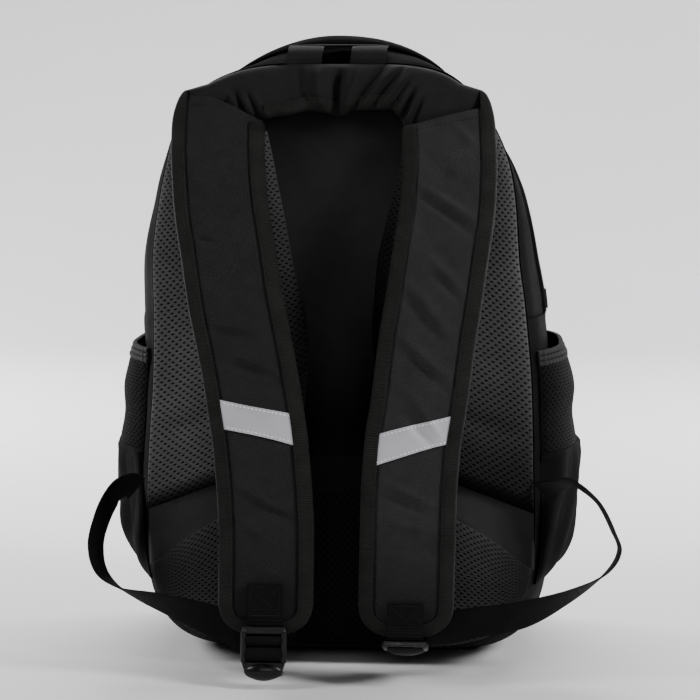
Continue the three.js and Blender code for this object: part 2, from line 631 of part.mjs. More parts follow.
for (const { side, name } of SIDES) {
  const corner = strapLength - STRAP_END.length;
  const end = strapLength - BINDING.lip - STRAP_END.clear;
  const columns = 2 * INWARD.length;
  const { shoulder, straight, round } = STEPS;
  const rows = shoulder + straight + round;
  const sheet = (height) => (u, v) => {
    const i = Math.round(u * columns);
    const j = Math.round(v * rows);
    const flank = Math.sign(i - INWARD.length);
    const inward = flank === 0 ? STRAP.halfWidth : INWARD[Math.min(i, columns - i)];
    const full = STRAP.halfWidth - inward;
    if (j < shoulder && flank > 0 && inward <= BINDING.width) {
      const edge = shoulderEdge(name, j / shoulder);
      const along = edge.along + inward * edge.inAlong;
      return strapPoint(side, along, edge.across + inward * edge.inAcross, height(inward));
    }
    if (j < shoulder) {
      const along = lerp(strapSeam(name, flank * full), SHOULDER.base, j / shoulder);
      return strapPoint(side, along, flank * full, height(inward));
    }
    const past = Math.sin((Math.max(j - shoulder - straight, 0) / round) * (Math.PI / 2));
    const along = past > 0 ? lerp(corner, end, past) : lerp(SHOULDER.base, corner, (j - shoulder) / straight);
    const narrow = strapHalfWidth(along, BINDING.lip) / (STRAP.halfWidth - BINDING.lip);
    const across = flank * full * narrow;
    const fromEdge = Math.min(strapHalfWidth(along, 0) - Math.abs(across), strapLength - along);
    return strapPoint(side, along, across, height(fromEdge * (1 - STRAP_END.thinner * past)));
  };
  const strap = between(sheet(strapFace), sheet(() => -STRAP.back), columns, rows);
  addPiece(`strap_${name}`, strap, LOOKS.cloth, name);
}

/** The tape's section: inward from the edge, and out from the middle of what it folds round. */
function bindingProfile(face, back) {
  const { width, thick, gap, lip } = BINDING;
  const inside = lip - gap;
  const half = width / 2;
  return [
    [width, face(width) + gap],
    [half, face(half) + gap],
    [inside, face(lip) + gap],
    [inside, -back - gap],
    [width, -back - gap],
    [width, -back - gap - thick],
    [0, -back - gap - thick / 2],
    [0, face(lip) + gap],
    [half, face(half) + gap + thick],
    [width, face(width) + gap + thick],
  ];
}

/** One side of the strap's edge, from its top to the middle of its round end. */
function edgeOfSide(name, flank) {
  const corner = strapLength - STRAP_END.length;
  const across = flank * STRAP.halfWidth;
  const edge = [];
  for (let i = 0; i < STEPS.shoulder; i++) {
    const t = i / STEPS.shoulder;
    const along = lerp(strapSeam(name, -STRAP.halfWidth) + GAP, SHOULDER.base, t);
    edge.push(flank > 0 ? shoulderEdge(name, t) : { along, across, inAlong: 0, inAcross: -flank });
  }
  for (let i = 0; i < STEPS.straight; i++) {
    edge.push({ along: lerp(SHOULDER.base, corner, i / STEPS.straight), across, inAlong: 0, inAcross: -flank });
  }
  for (let i = 0; i <= STEPS.round; i++) {
    const angle = ((i / STEPS.round) * Math.PI) / 2;
    const power = 2 / STRAP_END.power;
    const round = Math.max(Math.cos(angle), 0) ** power;
    edge.push({ along: corner + STRAP_END.length * Math.sin(angle) ** power, across: across * round });
  }
  return edge;
}

/** The direction in from the edge at a row: as given there, or square to the rows beside it. */
function inwardAt(edge, i) {
  if (edge[i].inAlong !== undefined) return edge[i];
  const run = new THREE.Vector2(edge[i + 1].along - edge[i - 1].along, edge[i + 1].across - edge[i - 1].across);
  run.normalize();
  return { inAlong: run.y, inAcross: -run.x };
}

for (const { side, name } of SIDES) {
  const edge = [...edgeOfSide(name, 1), ...edgeOfSide(name, -1).reverse().slice(1)];
  const profile = bindingProfile(strapFace, STRAP.back);
  const rings = edge.map(({ along, across }, i) => {
    const { inAlong, inAcross } = inwardAt(edge, i);
    return profile.map(([inward, height]) =>
      strapPoint(side, along + inward * inAlong, across + inward * inAcross, height));
  });
  addPiece(`strap_binding_${name}`, sweep(rings, profile), LOOKS.binding, name);
}

for (const { side, name } of SIDES) {
  const reach = STRAP.halfWidth - BINDING.width - 2 * GAP;
  const { fromEnd, slant } = REFLECTOR_PLACE[name];
  const slope = Math.tan(degrees(slant));
  const sheet = (lift) => (u, v) => {
    const across = lerp(-reach, reach, u);
    const middle = strapLength - fromEnd - across * slope;
    const along = middle + (v - 0.5) * REFLECTOR.width;
    return strapPoint(side, along, across, strapFace(STRAP.halfWidth - Math.abs(across)) + lift);
  };
  const tape = between(sheet(BINDING.gap + REFLECTOR.thick), sheet(BINDING.gap), 6, 1);
  addPiece(`reflector_${name}`, tape, LOOKS.reflective, name);
}

// Yoke and its binding
const panelTop = (x) => {
  const points = halfOutline(0);
  let i = points.length - 1;
  while (points[i - 1].x < Math.abs(x)) i--;
  const t = (Math.abs(x) - points[i].x) / (points[i - 1].x - points[i].x);
  return lerp(points[i].z, points[i - 1].z, t);
};

const yokeTop = (x) => {
  const inward = Math.min(YOKE.halfWidth - Math.abs(x), YOKE_CORNER.reach);
  const corner = YOKE_CORNER.z + YOKE_CORNER.slope * inward;
  return Math.max(panelTop(x) - YOKE.topInset, corner);
};

/** Lower edge of the yoke: free between the straps, and along the strap seams outside that. */
function yokeLow(x) {
  if (Math.abs(x) < YOKE_EDGE.at(-1).x) return column(YOKE_EDGE, "x", x, "z");
  const seam = strapSeam(x < 0 ? "left" : "right", Math.abs(x) - STRAP_LINE[0].x);
  return STRAP_LINE[0].z - seam + YOKE.seamGap;
}

function yokeFace(x, z) {
  const low = yokeLow(x);
  const up = clamp((z - low) / (yokeTop(x) - low), 0, 1);
  const across = clamp(x / YOKE.halfWidth, -1, 1);
  let height = lerp(YOKE.edge, YOKE.thick, plateau(up, 4) * plateau((across + 1) / 2, 14));
  for (const fold of YOKE_FOLDS) {
    const distance = (x - fold.x - fold.slant * (z - FOLDS_FROM)) / fold.width;
    height -= fold.depth * Math.exp(-distance * distance);
  }
  return Math.max(height, YOKE.thinnest);
}

const yokePoint = (x, z, height) => new THREE.Vector3(x, backY(z) - YOKE.off - height, z);
const YOKE_CELLS = { bound: 18, plain: 4, rows: 6 }; // columns under the binding and on each side of it, rows

/** Distance from the middle at a column of the yoke, where the binding's first column is place 0. */
function yokeColumn(place) {
  const { bound, plain } = YOKE_CELLS;
  const beyond = Math.max(-place, place - bound, 0) / plain;
  const x = lerp(-YOKE_BINDING.reach, YOKE_BINDING.reach, clamp(place / bound, 0, 1));
  return x + Math.sign(x) * beyond * (YOKE.halfWidth - YOKE_BINDING.reach);
}

const yokeSheet = (height) => (u, v) => {
  const { bound, plain, rows } = YOKE_CELLS;
  const x = yokeColumn(Math.round(u * (bound + 2 * plain)) - plain);
  const row = Math.round(v * rows);
  const low = yokeLow(x) + INWARD[Math.min(row, 2)];
  const z = lerp(low, yokeTop(x), Math.max(row - 2, 0) / (rows - 2));
  return yokePoint(x, z, height(x, z));
};
const yokeColumns = YOKE_CELLS.bound + 2 * YOKE_CELLS.plain;
addPiece("yoke", between(yokeSheet(yokeFace), yokeSheet(() => 0), yokeColumns, YOKE_CELLS.rows), LOOKS.cloth);

function yokeBindingGeometry() {
  const rings = [];
  for (let i = 0; i <= YOKE_CELLS.bound; i++) {
    const x = yokeColumn(i);
    const low = yokeLow(x);
    const profile = bindingProfile((inward) => yokeFace(x, low + inward) + YOKE_BINDING.lift, 0);
    rings.push(profile.map(([inward, height]) => yokePoint(x, low + inward, height)));
  }
  return sweep(rings, bindingProfile(() => YOKE.edge, 0));
}
addPiece("yoke_binding", yokeBindingGeometry(), LOOKS.binding);

// Webbing
const SQUARE = [[-1, -1], [1, -1], [1, 1], [-1, 1]];

/** A flat band along rows of a point and the direction of its width. */
function ribbon(rows) {
  const rings = rows.map(({ point, width }, i) => {
    const before = rows[Math.max(i - 1, 0)].point;
    const after = rows[Math.min(i + 1, rows.length - 1)].point;
    const run = after.clone().sub(before).normalize();
    const wide = width.clone().addScaledVector(run, -width.dot(run)).normalize();
    const face = run.clone().cross(wide);
    wide.multiplyScalar(WEBBING.width / 2);
    face.multiplyScalar(WEBBING.thick / 2);
    return SQUARE.map(([a, b]) => point.clone().addScaledVector(wide, a).addScaledVector(face, b));
  });
  return sweep(rings, SQUARE);
}

function smoothRows(table, steps) {
  const widthOf = (row) => new THREE.Vector3(row.wx, row.wy, row.wz);
  const curve = new THREE.CatmullRomCurve3(table.map(pointOf), false, "centripetal");
  const widths = new THREE.CatmullRomCurve3(table.map(widthOf), false, "catmullrom");
  const rows = [];
  for (let i = 0; i <= steps; i++) {
    rows.push({ point: curve.getPoint(i / steps), width: widths.getPoint(i / steps) });
  }
  return rows;
}

// Ladder locks, strap tabs and lower webbing
/** The lock's own axes: across it, down it and out of its face, from the top middle of its plate. */
function lockFrame(side, name) {
  const place = LOCK_PLACE[name];
  const { down, across, out } = strapFrame(strapLength);
  const origin = strapPoint(1, strapLength - place.fromEnd, 0, place.height);
  const tilt = degrees(place.tilt);
  const lockDown = down.clone().multiplyScalar(Math.cos(tilt)).addScaledVector(out, -Math.sin(tilt));
  const lockOut = lockDown.clone().cross(across).normalize();
  return (x, d, n) => {
    const p = origin.clone().addScaledVector(across, x);
    p.addScaledVector(lockDown, d).addScaledVector(lockOut, n);
    return p.setX(side * p.x);
  };
}

function toManifold(geometry) {
  const bare = geometry.clone();
  bare.deleteAttribute("normal");
  bare.deleteAttribute("uv");
  const merged = mergeVertices(bare, 1e-4);
  const vertProperties = new Float32Array(merged.attributes.position.array);
  const triVerts = new Uint32Array(merged.index.array);
  return new wasm.Manifold(new wasm.Mesh({ numProp: 3, vertProperties, triVerts }));
}

/** The lock lying flat: x across, y down its length and z out of its face. */
function lockSolid() {
  const half = LOCK.width / 2;
  const inside = half - LOCK.rail;
  const shape = new THREE.Shape();
  shape.moveTo(-half, 0);
  shape.lineTo(half, 0);
  shape.lineTo(half, LOCK.shoulder);
  shape.quadraticCurveTo(half - 1, LOCK.length, 0, LOCK.length);
  shape.quadraticCurveTo(1 - half, LOCK.length, -half, LOCK.shoulder);
  const window = new THREE.Path();
  window.moveTo(-inside, LOCK.plate);
  window.lineTo(-inside, LOCK.windowEnd);
  window.lineTo(inside, LOCK.windowEnd);
  window.lineTo(inside, LOCK.plate);
  shape.holes.push(window);
  const frame = new THREE.ExtrudeGeometry(shape, { depth: LOCK.thick, bevelEnabled: false, curveSegments: 7 });
  let lock = toManifold(frame.translate(0, 0, -LOCK.thick / 2));
  for (const d of [LOCK.firstBar, LOCK.secondBar]) {
    const bar = new THREE.CylinderGeometry(LOCK.barRadius, LOCK.barRadius, 2 * inside + 1, 10);
    lock = lock.add(toManifold(bar.rotateZ(Math.PI / 2).translate(0, d, 0)));
  }
  const nose = new THREE.SphereGeometry(1, 10, 6);
  const noseLength = (LOCK.length - LOCK.windowEnd) * LOCK.noseLong;
  nose.scale(half * LOCK.noseWide, noseLength, LOCK.thick / 2 + LOCK.noseBulge);
  return lock.add(toManifold(nose.translate(0, (LOCK.windowEnd + LOCK.length) / 2, 0)));
}

function lockGeometry(place) {
  const { vertProperties, triVerts } = lockSolid().getMesh();
  const positions = [];
  for (let i = 0; i < vertProperties.length; i += 3) {
    positions.push(...place(vertProperties[i], vertProperties[i + 1], vertProperties[i + 2]).toArray());
  }
  return solid(positions, Array.from(triVerts));
}

/** Half a turn of webbing round a cross bar, from one side of the lock's face to the other. */
function roundBar(place, d, from, to, steps) {
  const radius = LOCK.barRadius + BINDING.gap + WEBBING.thick / 2;
  const rows = [];
  for (let i = 0; i <= steps; i++) {
    const angle = degrees(lerp(from, to, i / steps));
    rows.push(place(0, d + radius * Math.sin(angle), radius * Math.cos(angle)));
  }
  return rows;
}

for (const { side, name } of SIDES) {
  const place = lockFrame(side, name);
  addPiece(`ladder_lock_${name}`, lockGeometry(place), LOOKS.plastic, name);
  const width = place(1, 0, 0).sub(place(0, 0, 0));
  const asRows = (points) => points.map((point) => ({ point, width }));

  const onFace = strapFace(STRAP.halfWidth) + TAB.lift + WEBBING.thick / 2;
  const top = strapLength - TAB.topFromEnd[name];
  const tab = [
    strapPoint(side, top, 0, onFace),
    strapPoint(side, lerp(top, strapLength - LOCK_PLACE[name].fromEnd, THREAD.tabFree), 0, onFace),
    place(0, 0, -LOCK.thick / 2 - THREAD.plateClear),
    ...roundBar(place, LOCK.firstBar, 180, -50, 10),
  ];
  addPiece(`strap_tab_${name}`, ribbon(asRows(tab)), LOOKS.webbing, name);

  const loop = smoothRows(WEB_ROUTE[name], 26);
  const behindNose = -LOCK.thick / 2 - LOCK.noseBulge - THREAD.tailClear;
  const threaded = [
    place(0, LOCK.secondBar - THREAD.above, -THREAD.behind),
    ...roundBar(place, LOCK.secondBar, -110, 120, 9),
    place(0, LOCK.windowEnd, behindNose + THREAD.bend / 2),
    place(0, LOCK.windowEnd + THREAD.bend, behindNose),
    place(0, LOCK.length - THREAD.tailEnd, behindNose),
  ];
  addPiece(`lower_webbing_${name}`, ribbon([...loop, ...asRows(threaded)]), LOOKS.webbing, name);
}

// Haul loop
function haulGeometry() {
  const width = new THREE.Vector3(1, 0, 0);
  const rows = (x) => HAUL_LEG.map(({ y, z }) => ({ point: new THREE.Vector3(x, y, z), width }));
  const leg = (x) => toManifold(ribbon(rows(x)));
  const reach = HAUL.rightX - HAUL.leftX + WEBBING.width;
  const end = HAUL_LEG.at(-1);
  const grip = new THREE.BoxGeometry(reach, HAUL.gripDeep, WEBBING.thick);
  grip.translate((HAUL.leftX + HAUL.rightX) / 2, end.y - HAUL.gripDeep / 2 + HAUL.lap, end.z);
  const { vertProperties, triVerts } = leg(HAUL.leftX).add(leg(HAUL.rightX)).add(toManifold(grip)).getMesh();
  return solid(Array.from(vertProperties), Array.from(triVerts));
}
addPiece("haul_loop", haulGeometry(), LOOKS.webbing);

export default model;
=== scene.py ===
import functools
import math

import bpy
import numpy as np
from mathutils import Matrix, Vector


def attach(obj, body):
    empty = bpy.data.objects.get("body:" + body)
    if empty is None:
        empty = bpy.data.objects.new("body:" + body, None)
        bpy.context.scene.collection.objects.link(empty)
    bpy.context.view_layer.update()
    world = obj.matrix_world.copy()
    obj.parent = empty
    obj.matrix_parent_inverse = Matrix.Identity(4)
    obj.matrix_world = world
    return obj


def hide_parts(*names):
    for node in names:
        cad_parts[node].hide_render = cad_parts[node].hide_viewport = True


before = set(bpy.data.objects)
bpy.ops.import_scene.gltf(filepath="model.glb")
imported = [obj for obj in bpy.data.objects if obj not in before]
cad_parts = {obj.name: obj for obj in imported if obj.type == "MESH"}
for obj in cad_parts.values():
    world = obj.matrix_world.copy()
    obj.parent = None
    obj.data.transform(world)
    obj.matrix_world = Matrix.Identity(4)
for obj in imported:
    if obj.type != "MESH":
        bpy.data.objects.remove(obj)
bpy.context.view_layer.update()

# Driving dimensions in millimetres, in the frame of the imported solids
MM = 0.001
CLOTH, BACK_SHEET = 2.0, 3.0
SIDE_SEAM_LOW, SIDE_SEAM_HIGH = 58.0, 250.0
WEB_WIDTH, WEB_THICK, WEB_EDGE_THIN, WEB_EDGE_POWER = 25.0, 1.5, 0.5, 6
BAG_MIDDLE, LOWER_HALF, UPPER_HALF = (0.0, 0.0, 220.0), 200.0, 300.0
SIDES = {"left": -1, "right": 1}


def table(names, *rows):
    """A short table with named columns."""
    return dict(zip(names.split(), np.array(rows, float).T))


# Outline of the bag from behind at stations from the back seam (0) to the front seam (1), and its side view
OUTLINES = table(
    "at half_width widest_z top top_power bottom bottom_power flare",
    (0.0, 134, 235, 430, 4.0, 12, 5.2, 0.09),
    (0.1, 141, 242, 436, 2.9, 7, 5.6, 0.07),
    (0.34, 147, 250, 444, 2.15, -2, 6.0, 0.05),
    (0.66, 147, 250, 440, 2.1, -2, 6.0, 0.05),
    (0.9, 141, 246, 432, 2.2, 1, 5.6, 0.05),
    (1.0, 132, 240, 424, 2.3, 6, 5.0, 0.05),
)
PROFILE = table(
    "z back front",
    (0, -85, 86),
    (60, -88, 93),
    (150, -86, 94),
    (250, -82, 84),
    (350, -77, 60),
    (450, -70, 14),
)
# The soft bag leans, and its straps hang askew: how far the bag, and what hangs on its left and on its right
# strap, lie to the right of the middle line at each height
LEAN = table(
    "z bag left right",
    (0, 0, 0, 0),
    (60, 0, 1, 1),
    (110, -0.8, 1.8, 2.1),
    (130, -1.2, 1, 2.5),
    (166, -0.6, -0.3, 3.2),
    (200, 0, -0.7, 3.5),
    (258, -2.2, -3.2, 1.6),
    (295, -4.8, -3.8, 0),
    (355, -3.4, -4.4, -3.8),
    (395, -6, -6, -6),
    (410, -6, -6, -6),
    (428, -2.5, -2.5, -2.5),
    (447, 0, 0, 0),
)
ZIP_BACK, ZIP_FRONT, ZIP_SUNK, ZIP_THICK = 0.29, 0.37, 0.6, 1.4
FLAP_LOW, FLAP_MARGIN, FLAP_EDGE, FLAP_RISE, FLAP_THICK = 422.0, 0.06, 0.6, 3.2, 1.5
FLAP_FAR, CREST_LIFT, CREST_X, CREST_WIDE = -0.4, 2.0, -22.0, 38.0
CROWN_RISE, CROWN_HALF, CROWN_Z, CROWN_HIGH = 9.0, 135.0, 184.0, 240.0
HOLLOW_DEPTH, HOLLOW_FROM, HOLLOW_EASE = 7.0, 0.7, 0.12
PANEL_INSET, PANEL_LOW, PANEL_HIGH, PANEL_CREST, PANEL_CREST_POWER = 0.6, 0.1, 0.96, 0.95, 12
SLACK_SIZE, SLACK_HOLD, PANEL_STEP, ZIP_TUCK = 70.0, 8, 0.004, 0.004

# Air-mesh pads and the plain slope between them
PAD_THICK, PAD_EDGE, PAD_TOP, PAD_OUTER_LOW, PAD_INNER_LOW, PAD_INSET = 12.0, 3.0, 382.0, 112.0, 152.0, 1.0
PAD_ROLL, PAD_DENT, PAD_DENT_AT, PAD_DENT_HIGH = 0.05, 2.4, 0.2, 0.03
PAD_INNER = table("z x", (152, 31), (200, 25), (235, 23), (290, 30), (320, 36), (355, 44), (382, 48))
LUMBAR_HALF, LUMBAR_TOP, LUMBAR_DROP, LUMBAR_THICK, LUMBAR_EDGE = 136.0, 130.0, 0.0031, 13.0, 9.5
BAND_HALF, BAND_LOW, BAND_HIGH = 138.0, 9.0, 1.0
HOLE_PITCH, HOLE_DEPTH, HOLE_RADIUS, HOLE_STEPS, HOLE_SQUEEZE = 4.9, 1.5, 0.85, 6, (0.78, 1.3)
HOLE_SHIFT, HOLE_HOLD, HOLE_GAIN, HOLE_CUT = 0.25, 30, 1.4, 0.3
PAD_GAP, PAD_UNEVEN, PAD_UNEVEN_SIZE, PAD_ROLL_LEAST, LUMBAR_INSET = 0.3, 0.5, 60.0, 0.3, 1.5
BAND_UNEVEN, BAND_UNEVEN_SIZE = 0.6, 45.0

# Side pockets
POCKET_BACK, POCKET_FRONT, POCKET_ROUND, POCKET_OFF = 0.05, 0.93, 2.6, 1.0
POCKET_LOW, POCKET_MESH_LOW, POCKET_MESH_HIGH, POCKET_HIGH = 59.0, 153.0, 215.5, 226.5
POCKET_BULGE = table(
    "z bulge",
    (59, 1), (70, 9), (85, 15), (103, 18.5), (140, 20.5),
    (156, 18.5), (175, 16), (192, 17.5), (212, 13.5), (226.5, 8.5),
)
POCKET_CLOTH, POCKET_MESH, POCKET_HOLES, POCKET_HOLE_SHARE = 1.4, 2.0, (28, 13), 0.6
POCKET_FOLD, FOLD_TURN, FOLD_SWAY, FOLD_SWAY_TURN = 1.9, 31, 2.4, 4
SEAM_LEDGE, LEDGE_AT, LEDGE_WIDE = 1.0, 0.97, 0.03
HEM_RIBS, HEM_RIB, HEM_RIB_ROUND, HEM_THICK = 3, 1.1, 0.6, 1.6
HEM_GATHERS, HEM_GATHER, HEM_SWAY, HEM_SWAY_TURN = 26, 0.3, 3, 9

# Shoulder straps. Places are along the strap's middle line, and across it with the outer side positive
STRAP_LINE = table(
    "x y z",
    (80.5, -82, 396), (81, -86.5, 384), (81, -95, 369), (78.5, -109, 335), (72, -124, 301), (66, -136, 268),
    (59.5, -143.5, 234), (54.5, -148.5, 200), (50, -151.5, 166), (48.5, -152.5, 130), (48.5, -152, 94),
    (48.5, -151, 64), (48.5, -150, 36),
)
STRAP_HALF, STRAP_END, STRAP_END_POWER = 33.0, 26.0, 2.6
STRAP_BACK, STRAP_EDGE, STRAP_CROWN, STRAP_REACH = 2.6, 2.6, 3.4, 9.0
SHOULDER_TOP, SHOULDER_BASE, SHOULDER_POWER = -14.0, 18.0, 2.1
STRAP_SEAM = {
    "left": table("across along", (-33, 9.4), (-19, 3.4), (-1.5, -4.3), (8, -6.8), (23, -7)),
    "right": table("across along", (-33, 14.2), (-18.4, 10.9), (-5.2, 7.4), (8.7, 4.6), (23, 1.8)),
}
# Creases of the cover: turn is the angle from the line down the strap toward its outer side
STRAP_CREASES = {
    "left": table(
        "along across turn long wide depth",
        (60, 2, -66, 26, 8, 1.2),
        (96, 15, -70, 7, 1.6, -2.2),
        (146, -6, -64, 18, 4, 1.4),
        (157, 8, -72, 15, 2.8, 2.0),
        (165, 6, -72, 15, 2.8, -2.0),
        (184, -4, -62, 18, 3.2, 1.8),
        (192, -4, -62, 18, 3.2, -2.0),
        (212, 6, -66, 16, 4, 1.2),
        (277, 3, -60, 15, 2.6, 1.8),
        (288, -8, -66, 14, 2.8, -1.5),
        (300, 7, -50, 12, 3, 1.2),
        (330, -5, -72, 18, 3.6, 0.8),
    ),
    "right": table(
        "along across turn long wide depth",
        (22, 12, 40, 11, 3.4, 1.8),
        (44, -8, 48, 22, 6, -1.6),
        (71, 1, 62, 26, 3.6, 2.6),
        (80, 1, 62, 26, 3.2, -2.6),
        (104, -4, 50, 26, 6, -1.6),
        (123, 8, 54, 15, 3.2, 2.2),
        (131, 8, 54, 15, 3, -2.0),
        (146, -3, 50, 22, 3.8, 2.2),
        (156, -4, 50, 22, 3.6, -2.4),
        (180, 0, 56, 22, 3.6, 2.0),
        (189, 0, 56, 22, 3.4, -2.2),
        (206, -8, 54, 16, 4, 1.4),
        (222, 9, 46, 15, 2.8, 2.2),
        (231, 4, 50, 16, 2.6, -2.0),
        (274, 2, 66, 19, 2.4, 1.9),
        (282, -2, 68, 18, 2.2, -1.9),
        (296, 3, 76, 17, 2.8, 1.5),
        (318, -4, 80, 17, 3.4, 0.9),
    ),
}
STRAP_UNEVEN, STRAP_UNEVEN_SIZE, STRAP_SEEDS = 0.2, 45.0, {"left": 31, "right": 32}
STRAP_COLUMNS, SHOULDER_ROWS, STRAP_ROWS, END_ROWS, END_CLEAR = 81, 24, 230, 30, 1.0
EDGE_ROWS, EDGE_END_ROWS = 150, 41
BIND_WIDTH, BIND_THICK, BIND_LIP, BIND_PUFF = 10.0, 1.0, 1.6, 0.55
BIND_TURN, BIND_OVER, BIND_HUG, BIND_INSIDE, BIND_HEM, PUFF_ROUND = 1.5, 0.35, 0.7, 0.9, 0.2, 0.7
GROOVE_DEPTH, GROOVE_IN, GROOVE_WIDE, SLACK_REACH, SEAM_LAP = 0.6, 0.6, 0.8, 5.0, 1.6
REFLECTOR_WIDTH, REFLECTOR_TUCK, REFLECTOR_LIFT, REFLECTOR_SUNK = 20.0, 0.5, 0.8, 0.2
REFLECTOR_FROM_END = {"left": 150.0, "right": 139.0}
REFLECTOR_SLANT = {"left": 18.5, "right": 22.0}

# Yoke: the padded band over the back, gathered at its middle
YOKE_HALF, YOKE_THICK, YOKE_LIP, YOKE_THIN, YOKE_OFF, YOKE_INSET = 104.5, 9.5, 4.0, 2.8, 1.8, 1.2
YOKE_BOUND, YOKE_CORNER, YOKE_CORNER_SLOPE, YOKE_CORNER_REACH = 48.0, 410.5, 0.3, 20.0
YOKE_EDGE = table(
    "x z",
    (-50, 390), (-32, 392.6), (-16, 396), (-2, 394), (2, 392),
    (8.5, 393.4), (14, 396.2), (40, 397), (46, 392), (50, 385),
)
YOKE_UNEVEN, YOKE_UNEVEN_SIZE, YOKE_UNEVEN_TALL = 0.4, 26.0, 0.6
YOKE_GAP, YOKE_TAPE, YOKE_TAPE_SPLIT, YOKE_STITCH_IN = 0.4, 0.5, 2.0, 2.0
FOLDS_FROM, GATHER, FOLD_START, FOLD_STOP = 389.0, 1.25, 6.0, 8.0
YOKE_FOLDS = table(
    "x depth width slant low high",
    (2.2, 6.0, 3.4, 0, 380, 426),
    (6, -1.6, 2.4, 0.3, 396, 428),
    (9, 2.6, 2.6, 0.6, 392, 440),
    (14, -2.0, 2.4, 0.66, 394, 428),
    (19, 2.4, 2.6, 0.72, 392, 430),
    (26, -1.8, 2.6, 0.75, 394, 424),
    (32, 1.8, 2.8, 0.7, 390, 420),
    (41, -1.8, 2.2, 0.55, 384, 412),
    (46, 2.8, 2.2, 0.5, 380, 414),
    (51, -1.8, 2.0, 0.45, 384, 410),
    (56, 1.6, 2.2, 0.4, 384, 408),
    (-5, -1.8, 2.8, -0.25, 396, 430),
    (-13, 1.8, 3.4, -0.4, 398, 436),
    (-28, 2.6, 11, -0.3, 396, 440),
    (-44, -1.6, 2.6, -0.6, 388, 410),
    (-50, 2.0, 2.2, -0.5, 382, 412),
    (-55, -1.8, 2.0, -0.45, 384, 410),
    (-60, 2.8, 2.2, -0.4, 382, 412),
    (-65, -1.8, 2.2, -0.35, 386, 410),
    (-71, 1.6, 2.4, -0.3, 388, 408),
)

# Ladder locks: places down the lock from its top, and out of its face
LOCK_WIDTH, LOCK_RAIL, LOCK_THICK, LOCK_PLATE, LOCK_LENGTH, LOCK_SHOULDER = 31.0, 2.4, 3.6, 5.0, 38.0, 21.0
LOCK_BARS, BAR_RADIUS, BAR_CLEAR, BAR_TUCK, WINDOW_END = (9.4, 19.2), 1.6, 0.3, 0.6, 25.0
NOSE_BULGE, NOSE_WIDE, NOSE_LONG, LOCK_BEVEL, LOCK_CORNER, NOSE_IN = 3.2, 0.88, 0.48, 0.7, 1.2, 1.0
POST_RADIUS, POST_LEAST, POST_IN, POST_OUT, POST_TOP, POST_LOW, POST_TAPER = 2.1, 0.3, 1.6, 0.7, 1.5, 1.0, 0.3
LOCK_PLACE = {"left": (9.0, 11.0, -3.0), "right": (-2.0, 9.5, 68.0)}
TAB_TOP = {"left": 38.0, "right": 26.0}
TAB_LIFT, TAB_FREE, TAB_SEWN, TAB_SUNK, TAB_ROUND, WEB_ROUND = 1.4, 0.6, 22.0, 0.6, 3.5, 4.6

# Lower webbing from the side seam to the back of the ladder lock. w is the direction of its width
WEB_ROUTE = {
    "left": table(
        "x y z wx wy wz",
        (-148, -88, 127, 0, -0.6, 0.8),
        (-153.5, -92.5, 129.5, 0, -0.75, 0.62),
        (-161.5, -103, 125.5, -0.2, -0.88, 0.4),
        (-169, -115, 111, -0.28, -0.93, 0.2),
        (-172.5, -124, 92, -0.25, -0.95, 0.1),
        (-167, -130, 74, -0.12, -0.97, 0.1),
        (-151, -134, 62.5, 0.05, -0.95, 0.3),
        (-123, -136, 54, 0.2, -0.8, 0.75),
        (-96, -136, 45, 0.1, -0.4, 0.9),
        (-76, -134, 37, -0.2, -0.15, 0.9),
        (-60, -134, 29, -0.7, 0.1, 0.7),
        (-50, -142, 28, -1, 0.1, 0.15),
    ),
    "right": table(
        "x y z wx wy wz",
        (140.5, -87.5, 128, 0, -0.6, 0.8),
        (148.5, -92.5, 133, -0.2, -0.85, 0.45),
        (162.5, -102, 136, 0.05, -0.95, 0.3),
        (179, -112, 125, 0.12, -0.97, 0.12),
        (190, -118, 106, 0.12, -0.98, 0.05),
        (194.5, -122, 92, 0.05, -1, 0.1),
        (185, -126, 77, 0, -1, 0.2),
        (161, -129, 62, -0.2, -0.9, 0.5),
        (129, -132, 49, -0.2, -0.5, 0.85),
        (97, -132, 43, -0.1, -0.35, 0.93),
        (77, -131, 39, 0.2, -0.15, 0.9),
        (61, -132.5, 39.5, 0.7, 0.2, 0.7),
        (50.5, -139, 36.5, 1, 0.1, 0.15),
    ),
}
THREAD_ABOVE, THREAD_BEHIND, TAIL_CLEAR, PLATE_CLEAR, TAIL_BEND, TAIL_END = 5.5, 6.0, 1.5, 1.6, 4.0, 2.0
HAUL_X = (-25.0, 20.0)
HAUL_LEG = table("y z", (-74.2, 428.6), (-75.2, 434), (-73, 438.6), (-68, 440.8), (-56, 441.4))
HAUL_GRIP, HAUL_LAP, HAUL_ARCH = 12.0, 1.0, 0.6

# Stitches, each by its pitch, length, width and height, how they lie, and the teeth of the zip
BIND_STITCH, REFLECTOR_STITCH = (3.0, 2.2, 0.6, 0.25), (2.8, 1.8, 1.0, 0.35)
TAB_STITCH, SEAM_STITCH = (2.6, 2.0, 0.7, 0.3), (3.2, 2.2, 0.7, 0.25)
STITCH_IN, TAB_STITCH_TOP, TAB_STITCH_IN, SEAM_BELOW, SEAM_IN = 1.8, 2.0, 2.2, 4.5, 1.0
TAPE_RISE, REFLECTOR_RISE, TAB_SINK, SEAM_RISE = 0.4 + BIND_THICK + 0.6 * BIND_PUFF, 0.85, 0.55, 0.1
TEETH_APART, TEETH_PITCH, TEETH_SUNK = 0.006, 2.0, 0.1
TOOTH_WIDE, TOOTH_LONG, TOOTH_LOW, TOOTH_HIGH = 1.7, 0.6, -0.4, 0.7


# Reading tables and lines of points
def lerp(start, end, t):
    return start + (end - start) * t


def stacked(*parts):
    """Points from their coordinates, each an array or a plain number."""
    return np.stack(np.broadcast_arrays(*parts), axis=-1)


def unit(vectors):
    return vectors / np.linalg.norm(vectors, axis=-1, keepdims=True)


